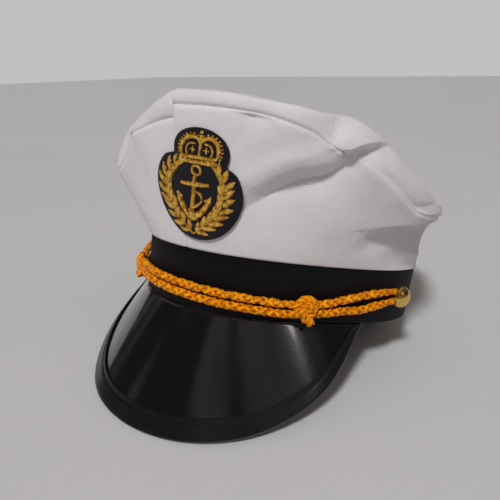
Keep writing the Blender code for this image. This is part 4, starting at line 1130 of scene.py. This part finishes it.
# Strokes of the ornament over the anchor: base band, arches and centre line
EMBLEM_STROKES = (
    ((-8.6, 15.6, 0.7, 0.9), (-3.5, 15.7, 0.8, 1), (2, 16, 0.8, 1), (6.5, 16.4, 0.8, 1),
     (10.8, 17, 0.7, 0.9)),
    ((-8.2, 18, 0.7, 0.9), (-3.4, 18.1, 0.8, 1), (2, 18.5, 0.8, 1), (6.4, 18.9, 0.8, 1),
     (10.6, 19.4, 0.7, 0.9)),
    ((-7.6, 18.6, 0.6, 0.9), (-7.7, 21.7, 0.8, 1.1), (-5.6, 25.9, 0.9, 1.2), (-2, 28.1, 0.9, 1.2),
     (0.8, 27.6, 0.8, 1.1), (2.4, 25.4, 0.6, 0.9)),
    ((10.2, 19.4, 0.6, 0.9), (11.1, 22.5, 0.8, 1.1), (10.2, 26.2, 0.9, 1.2), (7.5, 28.5, 0.9, 1.2),
     (4.4, 28, 0.8, 1.1), (2.4, 25.4, 0.6, 0.9)),
    ((-4.6, 19, 0.4, 0.7), (-4.8, 22.3, 0.5, 0.8), (-3.2, 24.6, 0.5, 0.8), (-0.4, 25, 0.4, 0.7)),
    ((7.6, 19.6, 0.4, 0.7), (8.2, 22.8, 0.5, 0.8), (6.8, 25.2, 0.5, 0.8), (4.2, 25.6, 0.4, 0.7)),
    ((1.9, 19.4, 0.5, 0.8), (2.1, 22, 0.6, 0.9), (2.4, 25.4, 0.7, 1), (2.3, 28.8, 0.6, 0.9)),
)
CROSSES = ((-1.6, 21.9), (5.2, 22.5))


def draw_strokes(pile, table, wider, taller, rib):
    for stroke in table:
        purl(pile, [(x, y, wider * half, taller * tall) for x, y, half, tall in stroke], rib,
             0.0010)


def make_anchor(look):
    pile = Pile()
    x, y = RING_CENTRE
    ring = [(x + RING_RADIUS * cos(a), y + RING_RADIUS * sin(a), 0.75, 0.9)
            for a in np.radians(np.linspace(-90, 270, 25))]
    purl(pile, ring, rib=0.10)
    draw_strokes(pile, ANCHOR_STROKES, 1.2, 1.15, 0.14)
    pile.piece("gold_anchor", look, "gold_thread", replaced="badge_anchor")


def make_wreath(look):
    pile = Pile()
    for stem in STEMS:
        line = resample(stem, 120)
        way = tangents(line)
        purl(pile, [(x, y, 0.55, 0.8) for x, y in line[::8]], rib=0.10)
        for share, outer_turn, inner_turn, size, half in LEAVES:
            k = int(share * 119)
            for turn in (outer_turn, -inner_turn):
                ahead = np.array(turned(*way[k], turn if stem is STEMS[0] else -turn))
                long = 1.06 * size if turn > 0 else 0.92 * size
                leaf(pile, line[k] + ahead * 0.5, line[k] + ahead * long, 1.14 * half,
                     bow=0.35 if turn > 0 else -0.35)
        leaf(pile, line[-1], line[-1] + way[-1] * 3.0, 0.8)
    pile.piece("gold_wreath", look, "gold_thread", replaced="badge_wreath")


def make_emblem(look):
    pile = Pile()
    draw_strokes(pile, EMBLEM_STROKES, 1.25, 1.1, 0.16)
    for x in np.linspace(-7.6, 9.9, 12):
        bead(pile, x, 16.9 + 0.07 * (x - 1), 0.55, high=1.2)
    bead(pile, 2.3, 30.8, 0.85)
    bead(pile, 2.3, 29.0, 0.8)
    for x, y in CROSSES:
        purl(pile, [(x - 1.3, y, 0.35, 0.6), (x + 1.3, y, 0.35, 0.6)], rib=0.1)
        purl(pile, [(x, y - 1.6, 0.35, 0.7), (x, y + 1.6, 0.35, 0.7)], rib=0.1)
    for stroke, side in ((EMBLEM_STROKES[2], 1), (EMBLEM_STROKES[3], -1)):
        line = resample(stroke, 60)[:, :2]
        for x, y in (line + side * square_left(tangents(line)) * 1.55)[3:56:5]:
            bead(pile, x, y, 0.5, high=1.2)
    pile.piece("gold_emblem", look, "gold_thread", replaced="badge_crown")


# Camera, floor and light

def make_camera():
    ahead = unit(np.array(CAMERA_AHEAD))
    right = squared(np.array(CAMERA_RIGHT), ahead)
    axes = np.stack([right, np.cross(right, ahead), -ahead], -1)
    data = bpy.data.cameras.new("camera")
    data.lens, data.sensor_width, data.clip_start = CAMERA_LENS, SENSOR, 0.01
    made = added("camera", data)
    made.matrix_world = CAP @ Matrix([[*axes[i], CAMERA_SPOT[i]] for i in range(3)]
                                     + [[0, 0, 0, 1]])
    bpy.context.scene.camera = made


def make_floor():
    look = new_look("floor", (0.80, 0.80, 0.80), 0.6)
    tint = noise(look, spot_of(look), 3.0)
    coloured(look, tint, (0.3, (0.63, 0.63, 0.635)), (0.7, (0.65, 0.65, 0.65)))
    mesh = bpy.data.meshes.new("floor")
    far = 6.0
    mesh.from_pydata([(-far, -far, 0), (far, -far, 0), (far, far, 0), (-far, far, 0)], [],
                     [(0, 1, 2, 3)])
    mesh.materials.append(look)
    added("floor", mesh)


def make_world():
    """Even pale light, with a dimmer room of soft upright bands for glossy surfaces."""
    world = bpy.data.worlds.new("world")
    world.use_nodes = True
    nodes = world.node_tree.nodes
    even = nodes["Background"]
    even.inputs["Color"].default_value = WORLD_COLOUR
    even.inputs["Strength"].default_value = WORLD_STRENGTH
    upright = stretched(world, spot_of(world, "Generated"), 0, (2.0, 2.0, 0.30))
    bands = ramp(world, noise(world, upright, 1.6, 1.0), (0.46, (0.015, 0.015, 0.017)),
                 (0.58, (0.20, 0.18, 0.18)))
    last = even.outputs[0]
    for ray, colour in (("Is Glossy Ray", bands), ("Is Camera Ray", BACKDROP_COLOUR)):
        last = node(world, "MixShader", 0, node(world, "LightPath", ray), last,
                    node(world, "Background", 0, colour))
    world.node_tree.links.new(last, nodes["World Output"].inputs["Surface"])
    bpy.context.scene.world = world


def make_light():
    make_world()
    data = bpy.data.lights.new("key", "SUN")
    data.energy, data.angle, data.color = KEY_POWER, radians(KEY_ANGLE), KEY_COLOUR
    key = added("key", data)
    key.rotation_euler = Vector(KEY_WAY).to_track_quat("-Z", "Y").to_euler()
    key.visible_glossy = False
    data = bpy.data.lights.new("lamp", "AREA")
    data.shape, data.size, data.energy, data.color = "DISK", LAMP_SIZE, LAMP_POWER, LAMP_COLOUR
    lamp = added("lamp", data)
    lamp.location = LAMP_SPOT
    way = Vector(LAMP_AIM) - Vector(LAMP_SPOT)
    lamp.rotation_euler = way.to_track_quat("-Z", "Y").to_euler()
    bpy.context.scene.view_settings.view_transform = "Standard"


make_camera()
make_crown()
make_band()
make_visor()
make_binding()
cord = thread_look("cord_yarn", CORD, (30, 1, 1), 90, 0.12, 0.34, 0.0, 0.8)
cord.node_tree.nodes["Principled BSDF"].inputs["Specular Tint"].default_value = (1, 0.55, 0.12, 1)
make_strand("braid_upper", "cord_upper", UPPER_STRAND, cord, 0.0)
make_strand("braid_lower", "cord_lower", LOWER_STRAND, cord, 0.8)
brass = brass_look()
for word, side in (("left", 1), ("right", -1)):
    make_knot(word, side, cord)
    make_button(word, side, brass)
BADGE_TABLE = badge_table()
gold = thread_look("gold", THREAD, (1, 0.004, 1), 0, 0.00042, 0.30, 0.4, 0.8)
make_patch(felt_look())
make_anchor(gold)
make_wreath(gold)
make_emblem(gold)
make_floor()
make_light()
